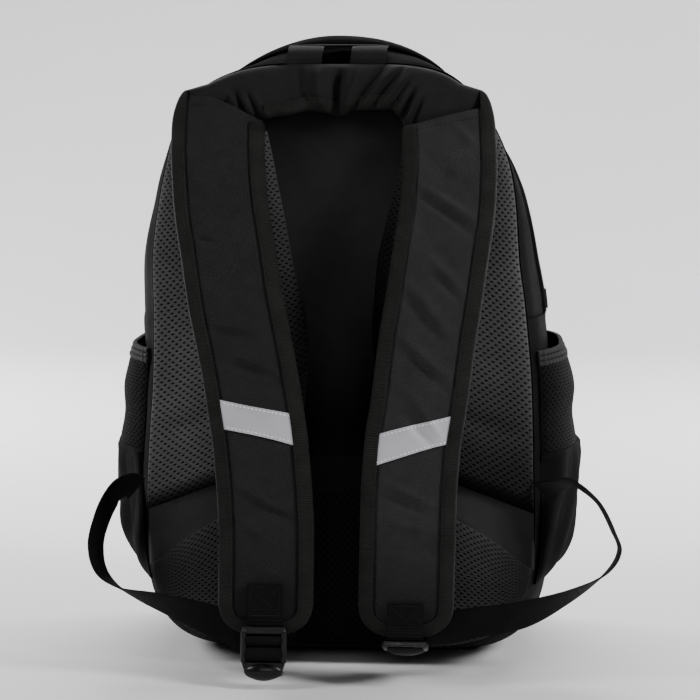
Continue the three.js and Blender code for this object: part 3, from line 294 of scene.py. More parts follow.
def running(points):
    """Length along a line of points, up to each of them."""
    return np.concatenate([[0], np.cumsum(np.linalg.norm(np.diff(points, axis=0), axis=-1))])


def along_line(goal, run, rows):
    """Rows that belong to a line's points, read at places along it."""
    return np.stack([np.interp(goal, run, rows[:, k]) for k in range(3)], axis=-1)


def column(rows, along, name, place):
    """A column of a table between its rows, on a smooth curve that never overshoots."""
    order = np.argsort(rows[along])
    x, y = rows[along][order], rows[name][order]
    place = np.clip(place, x[0], x[-1])
    row = np.clip(np.searchsorted(x, place) - 1, 0, len(x) - 2)
    rise = np.diff(y) / np.diff(x)
    product = rise[:-1] * rise[1:]
    total = np.where(product > 0, rise[:-1] + rise[1:], 1)
    inner = np.where(product > 0, 2 * product / total, 0)
    slope = np.concatenate([[rise[0]], inner, [rise[-1]]])
    step = x[row + 1] - x[row]
    t = (place - x[row]) / step
    s = 1 - t
    start = s * s * (1 + 2 * t) * y[row] + s * s * t * step * slope[row]
    end = t * t * (3 - 2 * t) * y[row + 1] - t * t * s * step * slope[row + 1]
    return start + end


def plateau(t, power):
    """1 in the middle of 0 to 1, falling to 0 at both ends."""
    return np.sqrt(np.clip(1 - np.abs(2 * t - 1) ** power, 0, 1))


def hump(place, middle, width):
    """1 at the middle, falling away smoothly over about a width on both sides."""
    return np.exp(-(((place - middle) / width) ** 2))


def waves(a, b, size, seed, count=7):
    """A smooth uneven surface from -1 to 1 or so, with humps about size millimetres across."""
    rng = np.random.default_rng(seed)
    total = np.zeros(np.broadcast(a, b).shape)
    for _ in range(count):
        angle, phase = rng.uniform(0, 2 * math.pi, 2)
        length = size * rng.uniform(0.6, 1.7)
        total += np.sin((a * math.cos(angle) + b * math.sin(angle)) * 2 * math.pi / length + phase)
    return total / math.sqrt(count)


# Surface of the bag
@functools.lru_cache(maxsize=None)
def half_outline(at):
    """Half of the outline at a station, from the bottom middle to the top middle, with its running length."""
    size = {name: float(column(OUTLINES, "at", name, at)) for name in OUTLINES}
    angle = np.linspace(-math.pi / 2, math.pi / 2, 241)
    power = np.where(angle > 0, size["top_power"], size["bottom_power"])
    reach = np.where(angle > 0, size["top"] - size["widest_z"], size["widest_z"] - size["bottom"])
    z = size["widest_z"] + reach * np.sign(angle) * np.abs(np.sin(angle)) ** (2 / power)
    z = np.maximum(z, 0)
    x = size["half_width"] * np.clip(np.cos(angle), 0, 1) ** (2 / power)
    x = x * (1 + size["flare"] * (1 - z / size["widest_z"]))
    return x, z, running(stacked(x, z))


def outline_at(at, fraction):
    x, z, length = half_outline(at)
    goal = np.clip(fraction, 0, 1) * length[-1]
    return np.interp(goal, length, x), np.interp(goal, length, z)


def fraction_at_height(at, height):
    _, z, length = half_outline(at)
    return np.interp(height, z, length) / length[-1]


def back_y(z):
    return column(PROFILE, "z", "back", z)


def depth_y(at, z):
    return lerp(back_y(z), column(PROFILE, "z", "front", z), at)


def across_body(at_from, at_to, height, middle, cells):
    """A strip from left to right that ends at one height, under the bag (middle 0) or over it (middle 1)."""
    columns, rows = cells
    across = np.linspace(-1, 1, columns + 1)
    grid = []
    for at in np.linspace(at_from, at_to, rows + 1):
        x, z = outline_at(at, lerp(middle, fraction_at_height(at, height), np.abs(across)))
        grid.append(stacked(np.sign(across) * x, depth_y(at, z), z))
    return np.array(grid)


def side_of_body(side, at_from, at_to, low, high, cells):
    """A patch of one side of the bag between two heights."""
    columns, rows = cells
    heights = np.linspace(low, high, rows + 1)
    grid = []
    for at in np.linspace(at_from, at_to, columns + 1):
        x, z = outline_at(at, fraction_at_height(at, heights))
        grid.append(stacked(side * x, depth_y(at, z), z))
    return np.array(grid).transpose(1, 0, 2)


def normals(grid, toward):
    """Unit normals of a grid, on the side of it that toward points to."""
    normal = np.cross(np.gradient(grid, axis=0), np.gradient(grid, axis=1))
    normal /= np.maximum(np.linalg.norm(normal, axis=-1, keepdims=True), 1e-9)
    return normal if np.sum(normal * toward) > 0 else -normal


def outward(grid):
    return normals(grid, grid - np.array(BAG_MIDDLE))


def unit_square(columns, rows):
    """Coordinates from 0 to 1 over a grid: along its rows, and from row to row."""
    return np.meshgrid(np.linspace(0, 1, columns), np.linspace(0, 1, rows))


def unit_grid(grid):
    return unit_square(grid.shape[1], grid.shape[0])


def run_lengths(grid):
    """Mean length in millimetres of the grid's rows and of its columns."""
    wide = np.linalg.norm(np.diff(grid, axis=1), axis=-1).sum(axis=1).mean()
    long = np.linalg.norm(np.diff(grid, axis=0), axis=-1).sum(axis=0).mean()
    return float(wide), float(long)


def cloth_uv(grid):
    """Places on the flat cloth in metres."""
    u, v = unit_grid(grid)
    wide, long = run_lengths(grid)
    return stacked(u * wide, v * long) * MM


# Pieces from grids
def quads(rows, columns, first):
    index = np.arange(rows * columns).reshape(rows, columns) + first
    return stacked(index[:-1, :-1], index[:-1, 1:], index[1:, 1:], index[1:, :-1]).reshape(-1, 4)


def closed_mesh(name, outer, inner, uv, back_as_one=False, sharp=50, hangs="bag"):
    """A closed mesh between two grids of one size. back_as_one makes its inner side a single face."""
    rows, columns = outer.shape[:2]
    count = rows * columns
    index = np.arange(count).reshape(rows, columns)
    loop = np.concatenate([index[0, :-1], index[:-1, -1], index[-1, :0:-1], index[:0:-1, 0]])
    j, i = rows // 2, columns // 2
    turn = np.cross(outer[j, i] - outer[j, i - 1], outer[j, i] - outer[j - 1, i])
    faces = quads(rows, columns, 0).tolist()
    if back_as_one:
        points = np.concatenate([outer.reshape(-1, 3), inner.reshape(-1, 3)[loop]])
        places = np.concatenate([uv.reshape(-1, 2), uv.reshape(-1, 2)[loop]])
        lower = np.arange(len(loop)) + count
        faces += [lower[::-1].tolist()]
    else:
        points = np.concatenate([outer.reshape(-1, 3), inner.reshape(-1, 3)])
        places = np.concatenate([uv.reshape(-1, 2), uv.reshape(-1, 2)])
        lower = loop + count
        faces += quads(rows, columns, count)[:, ::-1].tolist()
    faces += stacked(loop, lower, np.roll(lower, -1), np.roll(loop, -1)).tolist()
    if np.dot(turn, outer[j, i] - inner[j, i]) < 0:
        faces = [face[::-1] for face in faces]
    return finished_mesh(name, points, faces, places, sharp, hangs)


def finished_mesh(name, points, faces, places=None, sharp=50, hangs="bag"):
    """A smooth mesh in metres that leans with the bag or hangs with a strap. places are on the flat cloth."""
    points = np.array(points, float)
    points[:, 0] += column(LEAN, "z", hangs, points[:, 2])
    mesh = bpy.data.meshes.new(name)
    mesh.from_pydata((points * MM).tolist(), [], faces)
    if places is not None:
        layer = mesh.uv_layers.new(name="cloth")
        corner = np.empty(len(mesh.loops), int)
        mesh.loops.foreach_get("vertex_index", corner)
        layer.data.foreach_set("uv", np.asarray(places)[corner].ravel())
    mesh.polygons.foreach_set("use_smooth", np.ones(len(mesh.polygons), bool))
    if sharp < 180:
        mesh.set_sharp_from_angle(angle=math.radians(sharp))
    mesh.update()
    return mesh


def piece(name, mesh, look, slot, *nodes):
    """Puts a mesh in the scene on the bag's body, in place of the nodes."""
    made = bpy.data.objects.new(f"{name}_sewn", mesh)
    bpy.context.scene.collection.objects.link(made)
    mesh.materials.append(look)
    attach(made, "root")
    if nodes:
        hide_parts(*nodes)
    return made


def shell(name, outer, inner, look, slot, uv=None, nodes=None, **shape):
    """A closed piece between two grids, in place of the node of its own name unless nodes are given."""
    mesh = closed_mesh(name, outer, inner, cloth_uv(outer) if uv is None else uv, **shape)
    return piece(name, mesh, look, slot, *([name] if nodes is None else nodes))


def sewn(made, grid):
    """Measures the mean lengths of the grid's rows and columns, and keeps nothing."""
    wide, long = run_lengths(grid)


# Painted shade: the colour darkened where shade falls. A fade is an axis of the bag, where it starts and ends
# along it in metres, and its least share. A shaded edge is an axis of the cloth, and its reach along it in
# metres or in periods of the mesh
ACROSS, UP = (1, 0, 0), (0, 0, 1)
FROM_BACK, FROM_SEAM, FROM_LOW = (1, 0, 0), (0, 1, 0), (0, 1, 0)
# Painted shade in the middle of the air mesh, the lumbar pad and the band, between the straps
AIR_MIDDLE_SHADE = (ACROSS, 0.02, 0.09, 0.03)
LEFT_AIR_MIDDLE_SHADE = (ACROSS, 0.0, 0.088, 0.03)
BAND_MIDDLE_SHADE = (ACROSS, 0.03, 0.085, 0.02)
# Painted shade on the channel between the straps: darker toward its bottom, and darker under the yoke
CHANNEL_SHADES = [(UP, 0.17, 0.27, 0.04), (UP, 0.41, 0.32, 0.3)]
# Painted shade on the right pad: darker toward the bottom
SHADE_FADE = (UP, 0.11, 0.25, 0.2)
# Painted shade on the straps: darker toward the bottom
STRAP_LOW_SHADE = (UP, 0.045, 0.12, 0.3)
# Painted shade along the lower edges of the upper pads and along the back edge of the pocket mesh
PAD_LOW_EDGE_SHADE, POCKET_BACK_SHADE = (FROM_LOW, 3.5), (FROM_BACK, 9)
EDGE_SHADE_DARK = 0.08
CLOUD_SIZE, MOTTLE_SIZE, FUZZ_SIZE = 40, 9, 3
CLOUD_SHARE, MOTTLE_SHARE, FUZZ_SHARE, WEAVE_SHARE = 0.6, 0.5, 0.8, 0.26
CROSS_PITCH, CROSS_SHARE, TWILL_BUMP, WEAR_RANGE, TWILL_ROUGH = 1.06, 0.45, 0.55, (0.15, 0.95), (0.62, 0.78)
CLOUD_RANGE, MESH_CLOUD_SIZE = (0.3, 0.7), 30
HOLE_RIM, THREADS_TO_HOLE, MESH_SHINE = (0.08, 0.25), 4, 0.03


# Materials
class Look:
    """A cloth or plastic material, whose nodes are added by short calls."""

    def __init__(self, name, color, roughness, **sockets):
        self.material = bpy.data.materials.new(name)
        self.material.use_nodes = True
        self.tree = self.material.node_tree
        self.shader = self.tree.nodes["Principled BSDF"]
        self.shader.inputs["Base Color"].default_value = (*color, 1)
        self.shader.inputs["Roughness"].default_value = roughness
        for socket, value in sockets.items():
            self.shader.inputs[socket.replace("_", " ")].default_value = value

    def node(self, kind, *inputs, **settings):
        made = self.tree.nodes.new("ShaderNode" + kind)
        for key, value in settings.items():
            setattr(made, key, value)
        enabled = [socket for socket in made.inputs if socket.enabled]
        for socket, value in zip(enabled, inputs):
            if isinstance(value, bpy.types.NodeSocket):
                self.tree.links.new(value, socket)
            elif value is not None:
                socket.default_value = value
        return next(socket for socket in made.outputs if socket.enabled)

    def math(self, operation, *inputs):
        return self.node("Math", *inputs, operation=operation)

    def vector(self, operation, *inputs):
        return self.node("VectorMath", *inputs, operation=operation)

    def uv(self):
        return self.node("UVMap", uv_map="cloth")

    def along(self, place, axis):
        return self.vector("DOT_PRODUCT", place, axis)

    def smooth(self, value, low, high, start=0, end=1):
        return self.node("MapRange", value, low, high, start, end, interpolation_type="SMOOTHSTEP")

    def stripes(self, direction, pitch):
        """Waves from -1 to 1 across the cloth, pitch millimetres apart."""
        turn = 2 * math.pi / (pitch * MM)
        return self.math("SINE", self.along(self.uv(), (direction[0] * turn, direction[1] * turn, 0)))

    def noise(self, size, detail=3.0):
        """Cloudy variation from 0 to 1 in the object's space, with patches about size millimetres across."""
        place = self.tree.nodes.new("ShaderNodeTexCoord").outputs["Object"]
        return self.node("TexNoise", place, 1 / (size * MM), detail)

    def fade(self, axis, start, end, least):
        """Painted shade: 1 beyond end along an axis of the object, falling to least within start of its
        middle.
        """
        spot = self.tree.nodes.new("ShaderNodeTexCoord").outputs["Object"]
        return self.smooth(self.math("ABSOLUTE", self.along(spot, axis)), start, end, least)

    def edge_shade(self, axis, reach):
        """Painted shade: dark at the cloth's first edge along an axis of its coordinates, and 1 from reach
        on.
        """
        return self.smooth(self.along(self.uv(), axis), 0, reach, EDGE_SHADE_DARK)

    def shades(self, fades, edge_shades):
        return [self.fade(*fade) for fade in fades] + [self.edge_shade(*edge_shade) for edge_shade in edge_shades]

    def product(self, first, *others):
        for other in others:
            first = self.math("MULTIPLY", first, other)
        return first

    def ramp(self, value, low, high, start, end):
        return self.node("MapRange", value, low, high, start, end)

    def tint(self, factor, dark, light):
        color = self.node("MixRGB", factor, (*dark, 1), (*light, 1))
        self.tree.links.new(color, self.shader.inputs["Base Color"])

    def rough(self, value):
        self.tree.links.new(value, self.shader.inputs["Roughness"])

    def bump(self, height, depth, strength=1.0):
        made = self.tree.nodes.new("ShaderNodeBump")
        made.inputs["Strength"].default_value = strength
        made.inputs["Distance"].default_value = depth * MM
        self.tree.links.new(height, made.inputs["Height"])
        self.tree.links.new(made.outputs["Normal"], self.shader.inputs["Normal"])


def twill_look(name, dark, light, pitch, depth, shine, fades=(), edge_shades=(), evenness=0.0):
    """Tight diagonal cloth with a faint crossing thread and cloudy wear. Its fades and shaded edges are
    painted shade.
    """
    dark, light = grey(dark), grey(light)
    look = Look(name, dark, 0.7, Sheen_Weight=shine / 7, Sheen_Roughness=0.5, Specular_IOR_Level=shine)
    diagonal = look.stripes((1, 1), pitch)
    crossing = look.stripes((1, -1), pitch * CROSS_PITCH)
    weave = look.math("MULTIPLY_ADD", crossing, CROSS_SHARE, diagonal)
    cloud = look.noise(CLOUD_SIZE)
    height = look.math("MULTIPLY_ADD", look.noise(FUZZ_SIZE), FUZZ_SHARE, weave)
    look.bump(height, depth, TWILL_BUMP)
    clouds = look.math("MULTIPLY", cloud, CLOUD_SHARE)
    mottle = look.math("MULTIPLY_ADD", look.noise(MOTTLE_SIZE), MOTTLE_SHARE, clouds)
    share = look.math("MULTIPLY_ADD", weave, WEAVE_SHARE, mottle)
    factor = look.ramp(share, *WEAR_RANGE, evenness, 1)
    look.tint(look.product(factor, *look.shades(fades, edge_shades)), dark, light)
    look.rough(look.ramp(cloud, *CLOUD_RANGE, *TWILL_ROUGH))
    return look.material


def air_mesh_look(name, dark, light, fades, edge_shades=()):
    """Spacer mesh with holes at whole and half periods of the cloth, painted darker into the holes. Its fades
    and shaded edges are painted shade.
    """
    dark, light = grey(dark), grey(light)
    sheen = {"Sheen_Weight": MESH_SHINE / 3, "Sheen_Roughness": 0.4}
    look = Look(name, light, 0.9, Specular_IOR_Level=MESH_SHINE, **sheen)
    holes = []
    for shift in (0.0, 0.5):
        moved = look.vector("ADD", look.uv(), (shift + 0.5, shift + 0.5, 0))
        cell = look.vector("FRACTION", moved)
        offset = look.vector("SUBTRACT", cell, (0.5, 0.5, 0))
        squeezed = look.vector("MULTIPLY", offset, (*HOLE_SQUEEZE, 1))
        holes.append(look.vector("LENGTH", squeezed))
    away = look.math("MINIMUM", *holes)
    # Painted shade: the colour darkens into each hole
    solid = look.smooth(away, *HOLE_RIM)
    turn = 2 * math.pi * THREADS_TO_HOLE
    threads = [look.math("SINE", look.along(look.uv(), axis)) for axis in ((turn, turn, 0), (turn, -turn, 0))]
    woven = look.math("MULTIPLY", *threads)
    share = look.math("MULTIPLY", solid, look.ramp(woven, -1, 1, 0.6, 1.0))
    cloud = look.ramp(look.noise(MESH_CLOUD_SIZE), *CLOUD_RANGE, 0.8, 1.0)
    look.tint(look.product(share, cloud, *look.shades(fades, edge_shades)), dark, light)
    look.bump(look.math("MULTIPLY_ADD", woven, 0.3, solid), 0.5, 0.6)
    return look.material


def ribbed_look(name, dark, light, pitch, depth, shine):
    """Woven tape: ribs across its length and finer threads along it."""
    look = Look(name, dark, 0.7, Specular_IOR_Level=shine)
    ribs = look.stripes((0, 1), pitch)
    threads = look.stripes((1, 0), pitch * 0.55)
    weave = look.math("MULTIPLY_ADD", threads, 0.4, ribs)
    look.bump(weave, depth, 0.7)
    share = look.math("MULTIPLY_ADD", weave, 0.2, look.noise(15))
    look.tint(look.ramp(share, 0.2, 0.8, 0, 1), dark, light)
    return look.material


def reflective_look():
    look = Look("reflective_tape", (0.4, 0.395, 0.42), 0.42, Specular_IOR_Level=0.5)
    beads = look.noise(0.6, 1.0)
    share = look.math("MULTIPLY_ADD", look.noise(25), 0.7, look.math("MULTIPLY", beads, 0.3))
    look.tint(look.ramp(share, 0.3, 0.7, 0, 1), (0.33, 0.325, 0.35), (0.41, 0.405, 0.43))
    look.bump(beads, 0.05, 0.4)
    return look.material


def plastic_look(name, value, roughness):
    look = Look(name, grey(value), roughness, Specular_IOR_Level=0.24)
    look.bump(look.noise(0.5, 2.0), 0.02, 0.35)
    look.rough(look.ramp(look.noise(8), *CLOUD_RANGE, roughness * 0.75, roughness * 1.35))
    return look.material


def thread_look(name, value):
    look = Look(name, grey(value), 0.8, Specular_IOR_Level=0.1)
    look.tint(look.noise(2), grey(0.7 * value), grey(value))
    return look.material


def grey(value):
    """A black of cloth that is very slightly cool."""
    return value, value, value * 1.03


CLOTH_LOOK = twill_look("black_twill", 0.0034, 0.0105, 1.5, 0.35, 0.12)
FRONT_LOOK = twill_look("front_twill", 0.005, 0.016, 1.6, 0.35, 0.12)
BODY_LOOK = twill_look("body_twill", 0.0028, 0.0062, 1.4, 0.22, 0.02)
# Painted shade: the gusset darker toward its back seam
GUSSET_SHADED_LOOK = twill_look("gusset_twill_painted_shade", 0.0005, 0.0085, 1.4, 0.22, 0.02, (), [(FROM_SEAM, 0.045)])
# Painted shade: the side panels darker overall than the body cloth, and darker toward their back edge
SIDE_SHADED_LOOK = twill_look("side_twill_painted_shade", 0.0005, 0.006, 1.4, 0.22, 0.02, (), [(FROM_BACK, 0.05)])
# Painted shade: the pockets' cloth darker toward its back edge
POCKET_CLOTH_SHADED_LOOK = twill_look("pocket_twill_painted_shade", 0.0008, 0.0068, 1.3, 0.2, 0.02, (), [(FROM_BACK, 0.06)])
# Painted shade: the band darker in its middle, between the straps
BAND_SHADED_LOOK = twill_look("band_twill_painted_shade", 0.001, 0.032, 1.3, 0.2, 0.03, [BAND_MIDDLE_SHADE], evenness=0.5)
# Painted shade: the channel darker toward its bottom and under the yoke
CHANNEL_SHADED_LOOK = twill_look("channel_cloth_painted_shade", 0.001, 0.024, 0.9, 0.12, 0.02, CHANNEL_SHADES, evenness=0.6)
# Painted light and shade: the right strap's twill lighter than the left's, and both darker toward the bottom
STRAP_LIT_AND_SHADED_LOOKS = {
    "left": twill_look("strap_twill_left_painted_shade", 0.003, 0.0152, 1.7, 0.6, 0.13, [STRAP_LOW_SHADE], evenness=0.15),
    "right": twill_look("strap_twill_right_painted_light_and_shade", 0.003, 0.027, 1.7, 0.6, 0.15, [STRAP_LOW_SHADE], evenness=0.15),
}
# Painted shade: the right pad darker than the left and toward its bottom; both darker in the middle
AIR_LIT_AND_SHADED_LOOKS = {
    "left": air_mesh_look("air_mesh_left_painted_shade", 0.0012, 0.082, [LEFT_AIR_MIDDLE_SHADE], [PAD_LOW_EDGE_SHADE]),
    "right": air_mesh_look("air_mesh_right_painted_shade", 0.0012, 0.07, [AIR_MIDDLE_SHADE, SHADE_FADE], [PAD_LOW_EDGE_SHADE]),
}
# Painted shade: the lumbar mesh darker in its middle, between the straps
LUMBAR_SHADED_LOOK = air_mesh_look("lumbar_mesh_painted_shade", 0.0012, 0.048, [AIR_MIDDLE_SHADE])
# Painted shade: the pocket mesh darker toward its back edge
POCKET_MESH_SHADED_LOOK = air_mesh_look("pocket_mesh", 0.001, 0.023, (), [POCKET_BACK_SHADE])
BIND_DARK, BIND_LIGHT = (0.005, 0.005, 0.0045), (0.0112, 0.0112, 0.0102)
BIND_LOOK = ribbed_look("binding_tape", BIND_DARK, BIND_LIGHT, 1.3, 0.2, 0.12)
WEB_LOOK = ribbed_look("webbing", grey(0.0018), grey(0.0046), 1.1, 0.15, 0.08)
HAUL_LOOK = ribbed_look("haul_webbing", grey(0.005), grey(0.011), 1.1, 0.15, 0.12)
REFLECT_LOOK = reflective_look()
PLASTIC_LOOK = plastic_look("black_plastic", 0.0025, 0.3)
METAL_LOOK = plastic_look("black_enamel", 0.012, 0.35)
THREAD_LOOK = thread_look("black_thread", 0.006)
# Painted highlight: the tab's thread lighter than the other black thread, standing in for its lit sewn X
TAB_THREAD_LIT_LOOK = thread_look("tab_thread_painted_highlight", 0.014)
WHITE_THREAD_LOOK = thread_look("white_thread", 0.9)


# Camera at the photograph's angle
CAMERA_AZIMUTH, CAMERA_PITCH = math.radians(4.1), math.radians(6.8)
CAMERA_AWAY, CAMERA_HEIGHT, FOCAL_PIXELS, IMAGE_PIXELS, SENSOR = 1.700, 0.420, 2292.0, 700.0, 36.0


def make_camera():
    data = bpy.data.cameras.new("camera")
    data.sensor_width = SENSOR
    data.lens = FOCAL_PIXELS / IMAGE_PIXELS * SENSOR
    camera = bpy.data.objects.new("camera", data)
    bpy.context.scene.collection.objects.link(camera)
    side, ahead = math.sin(CAMERA_AZIMUTH), math.cos(CAMERA_AZIMUTH)
    camera.location = (CAMERA_AWAY * side, -CAMERA_AWAY * ahead, CAMERA_HEIGHT)
    gaze = Vector((-side * math.cos(CAMERA_PITCH), ahead * math.cos(CAMERA_PITCH), -math.sin(CAMERA_PITCH)))
    camera.rotation_euler = gaze.to_track_quat("-Z", "Y").to_euler()
    bpy.context.scene.camera = camera


make_camera()


# Walls of the bag
def add_wall(name, grid, look, slack=1.0, seed=1, toward=None, thick=CLOTH, lift=0.0, slot="black_cloth"):
    """A panel of cloth with soft unevenness that dies away at its seams. lift adds folds of its own."""
    face = outward(grid) if toward is None else normals(grid, toward)
    wide, long = run_lengths(grid)
    u, v = unit_grid(grid)
    free = slack * plateau(u, SLACK_HOLD) * plateau(v, SLACK_HOLD)
    rise = waves(u * wide, v * long, SLACK_SIZE, seed) * free + lift
    outer = grid + face * rise[..., None]
    sewn(shell(name, outer, grid - face * thick, look, slot, cloth_uv(grid)), grid)


def panel_grid(at, cells):
    """A sheet that fills the outline at a station."""
    columns, rows = cells
    across = np.linspace(-1, 1, columns + 1)
    grid = []
    for v in np.linspace(0, 1, rows + 1):
        fraction = lerp(PANEL_LOW, PANEL_HIGH, v)
        x, z = outline_at(at, fraction)
        before, after = outline_at(at, fraction - PANEL_STEP), outline_at(at, fraction + PANEL_STEP)
        run = math.hypot(after[0] - before[0], after[1] - before[1])
        edge_x = x - PANEL_INSET * (after[1] - before[1]) / run
        edge_z = z + PANEL_INSET * (after[0] - before[0]) / run
        crest = outline_at(at, 1)[1] - PANEL_INSET - edge_z
        height = edge_z + crest * v**PANEL_CREST_POWER * (1 - across**2) * PANEL_CREST
        grid.append(stacked(edge_x * across, depth_y(at, height), height))
    return np.array(grid)


base_grid = across_body(0, 1, SIDE_SEAM_LOW, 0, (80, 40))
add_wall("base_panel", base_grid, BODY_LOOK, slack=0.0)
for name, side in SIDES.items():
    side_grid = side_of_body(side, 0, 1, SIDE_SEAM_LOW, SIDE_SEAM_HIGH, (40, 40))
    add_wall(f"side_panel_{name}", side_grid, SIDE_SHADED_LOOK, seed=3 + side)
gusset_grid = across_body(0, ZIP_BACK, SIDE_SEAM_HIGH, 1, (160, 16))
gusset_u, gusset_v = unit_grid(gusset_grid)
hollow = -HOLLOW_DEPTH * np.clip((gusset_u - HOLLOW_FROM) / HOLLOW_EASE, 0, 1) * plateau(gusset_v, 2)
add_wall("top_gusset_back", gusset_grid, GUSSET_SHADED_LOOK, slack=0.6, seed=5, lift=hollow)
dome_grid = across_body(ZIP_FRONT, 1, SIDE_SEAM_HIGH, 1, (120, 36))
add_wall("top_gusset_front", dome_grid, FRONT_LOOK, slack=1.3, seed=6)
zip_grid = across_body(ZIP_BACK - ZIP_TUCK, ZIP_FRONT + ZIP_TUCK, SIDE_SEAM_HIGH, 1, (160, 4))
zip_grid -= outward(zip_grid) * ZIP_SUNK
add_wall("main_zip", zip_grid, WEB_LOOK, slack=0.0, thick=ZIP_THICK, slot="zip_tape")
front_grid = panel_grid(1, (60, 80))
front_x, front_z = front_grid[..., 0] / CROWN_HALF, (front_grid[..., 2] - CROWN_Z) / CROWN_HIGH
front_grid[..., 1] += CROWN_RISE * np.clip(1 - front_x**4 - front_z**4, 0, 1)
add_wall("front_panel", front_grid, FRONT_LOOK, slack=1.6, seed=8, toward=(0, 1, 0))
back_grid = panel_grid(0, (60, 80))
add_wall("back_panel", back_grid, CHANNEL_SHADED_LOOK, slack=0.5, seed=9, toward=(0, -1, 0), thick=BACK_SHEET)
flap_grid = across_body(ZIP_BACK - FLAP_MARGIN, ZIP_FRONT + FLAP_MARGIN, FLAP_LOW, 1, (120, 20))
flap_u, flap_v = unit_grid(flap_grid)
flap_crest = FLAP_RISE - FLAP_EDGE + CREST_LIFT * hump(flap_grid[..., 0], CREST_X, CREST_WIDE)
flap_rise = lerp(FLAP_EDGE, FLAP_FAR, flap_v) + flap_crest * plateau(flap_v, 2) * plateau(flap_u, 4)
flap_grid += outward(flap_grid) * (flap_rise + FLAP_THICK)[..., None]
add_wall("zip_flap", flap_grid, BODY_LOOK, slack=0.3, seed=11, thick=FLAP_THICK)


# Air-mesh pads
def dimples(u_periods, v_periods):
    """Depth of the mesh's holes, which lie at whole and half periods."""
    depth = 0
    for shift in (0.0, 0.5):
        du = (u_periods + shift + 0.5) % 1 - 0.5
        dv = (v_periods + shift + 0.5) % 1 - 0.5
        away = np.hypot(du * HOLE_SQUEEZE[0], dv * HOLE_SQUEEZE[1]) * HOLE_PITCH
        depth = np.maximum(depth, hump(away, 0, HOLE_RADIUS))
    return depth * HOLE_DEPTH


def add_pad(name, place, crown, size, look):
    """A foam pad under air mesh. place(u, v) gives x and z on the back panel, crown(u, v) its thickness."""
    wide, high = (round(length / HOLE_PITCH) for length in size)
    u, v = unit_square(wide * HOLE_STEPS + 1, high * HOLE_STEPS + 1)
    x, z = place(u, v)
    base = stacked(x, back_y(z) - PAD_GAP, z)
    thick = crown(u, v) + waves(x, z, PAD_UNEVEN_SIZE, 17) * PAD_UNEVEN * plateau(u, 4) * plateau(v, 4)
    body = base - np.array([0, 1.0, 0]) * thick[..., None]
    edge = np.clip(np.minimum(plateau(u, HOLE_HOLD), plateau(v, HOLE_HOLD)) * HOLE_GAIN - HOLE_CUT, 0, 1)
    u_periods, v_periods = u * wide + HOLE_SHIFT, v * high + HOLE_SHIFT
    holes = dimples(u_periods, v_periods) * edge
    outer = body - normals(body, (0, -1, 0)) * holes[..., None]
    periods = stacked(u_periods, v_periods)
    made = shell(name, outer, base, look, "air_mesh", periods, back_as_one=True, sharp=180)


def pad_outer(z):
    edge_x, edge_z, _ = half_outline(0)
    return np.interp(z, edge_z, edge_x) - PAD_INSET


def upper_pad(side):
    def place(u, v):
        inner_z = lerp(PAD_INNER_LOW, PAD_TOP, v)
        outer_z = lerp(PAD_OUTER_LOW, PAD_TOP, v)
        inner = column(PAD_INNER, "z", "x", inner_z)
        return side * lerp(inner, pad_outer(outer_z), u), lerp(inner_z, outer_z, u)

    return place


def upper_crown(u, v):
    roll = np.sin(np.clip(v / PAD_ROLL, 0, 1) * math.pi / 2)
    dent = PAD_DENT * hump(v, PAD_DENT_AT, PAD_DENT_HIGH) * plateau(u, 4)
    return lerp(PAD_EDGE, PAD_THICK, plateau(u, 7) * plateau(v, 10)) * lerp(PAD_ROLL_LEAST, 1, roll) - dent


def lumbar_top(x):
    return LUMBAR_TOP - LUMBAR_DROP * x * x


def lumbar_place(u, v):
    x = LUMBAR_HALF * (2 * u - 1)
    edge_x, edge_z, _ = half_outline(0)
    lower = edge_z < LOWER_HALF
    low = np.interp(np.abs(x), edge_x[lower], edge_z[lower]) + LUMBAR_INSET
    return x, lerp(low, lumbar_top(x), v)


def lumbar_crown(u, v):
    edge = lerp(PAD_EDGE, lerp(PAD_EDGE, LUMBAR_EDGE, plateau(u, 12)), v)
    return lerp(edge, LUMBAR_THICK, plateau(u, 12) * plateau(v, 6))


def add_band():
    """Plain cloth that slopes from the lumbar pad's top edge back to the upper pads."""
    u, v = unit_square(141, 31)
    x = BAND_HALF * (2 * u - 1)
    inner = PAD_INNER["x"][0]
    out = np.clip((np.abs(x) - inner) / (pad_outer(PAD_OUTER_LOW) - inner), 0, 1)
    z = lerp(lumbar_top(x) + PAD_GAP, lerp(PAD_INNER_LOW, PAD_OUTER_LOW, out) - PAD_GAP, v)
    thick = lerp(BAND_HIGH, lerp(BAND_LOW, BAND_HIGH, v), plateau(u, 12))
    thick = thick + waves(x, z, BAND_UNEVEN_SIZE, 19) * BAND_UNEVEN * plateau(u, 6) * plateau(v, 4)
    base = stacked(x, back_y(z) - PAD_GAP, z)
    outer = base - np.array([0, 1.0, 0]) * thick[..., None]
    made = shell("back_band", outer, base, BAND_SHADED_LOOK, "black_cloth")


for name, side in SIDES.items():
    add_pad(f"back_pad_{name}", upper_pad(side), upper_crown, (100, 262), AIR_LIT_AND_SHADED_LOOKS[name])
add_pad("lumbar_pad", lumbar_place, lumbar_crown, (272, 100), LUMBAR_SHADED_LOOK)
add_band()


# Pockets
def pocket_grid(side, low, high, cells):
    grid = side_of_body(side, POCKET_BACK, POCKET_FRONT, low, high, cells)
    u, v = unit_grid(grid)
    bulge = column(POCKET_BULGE, "z", "bulge", lerp(low, high, v)) * (1 - np.abs(2 * u - 1) ** POCKET_ROUND)
    return grid + outward(grid) * (POCKET_OFF + bulge)[..., None]


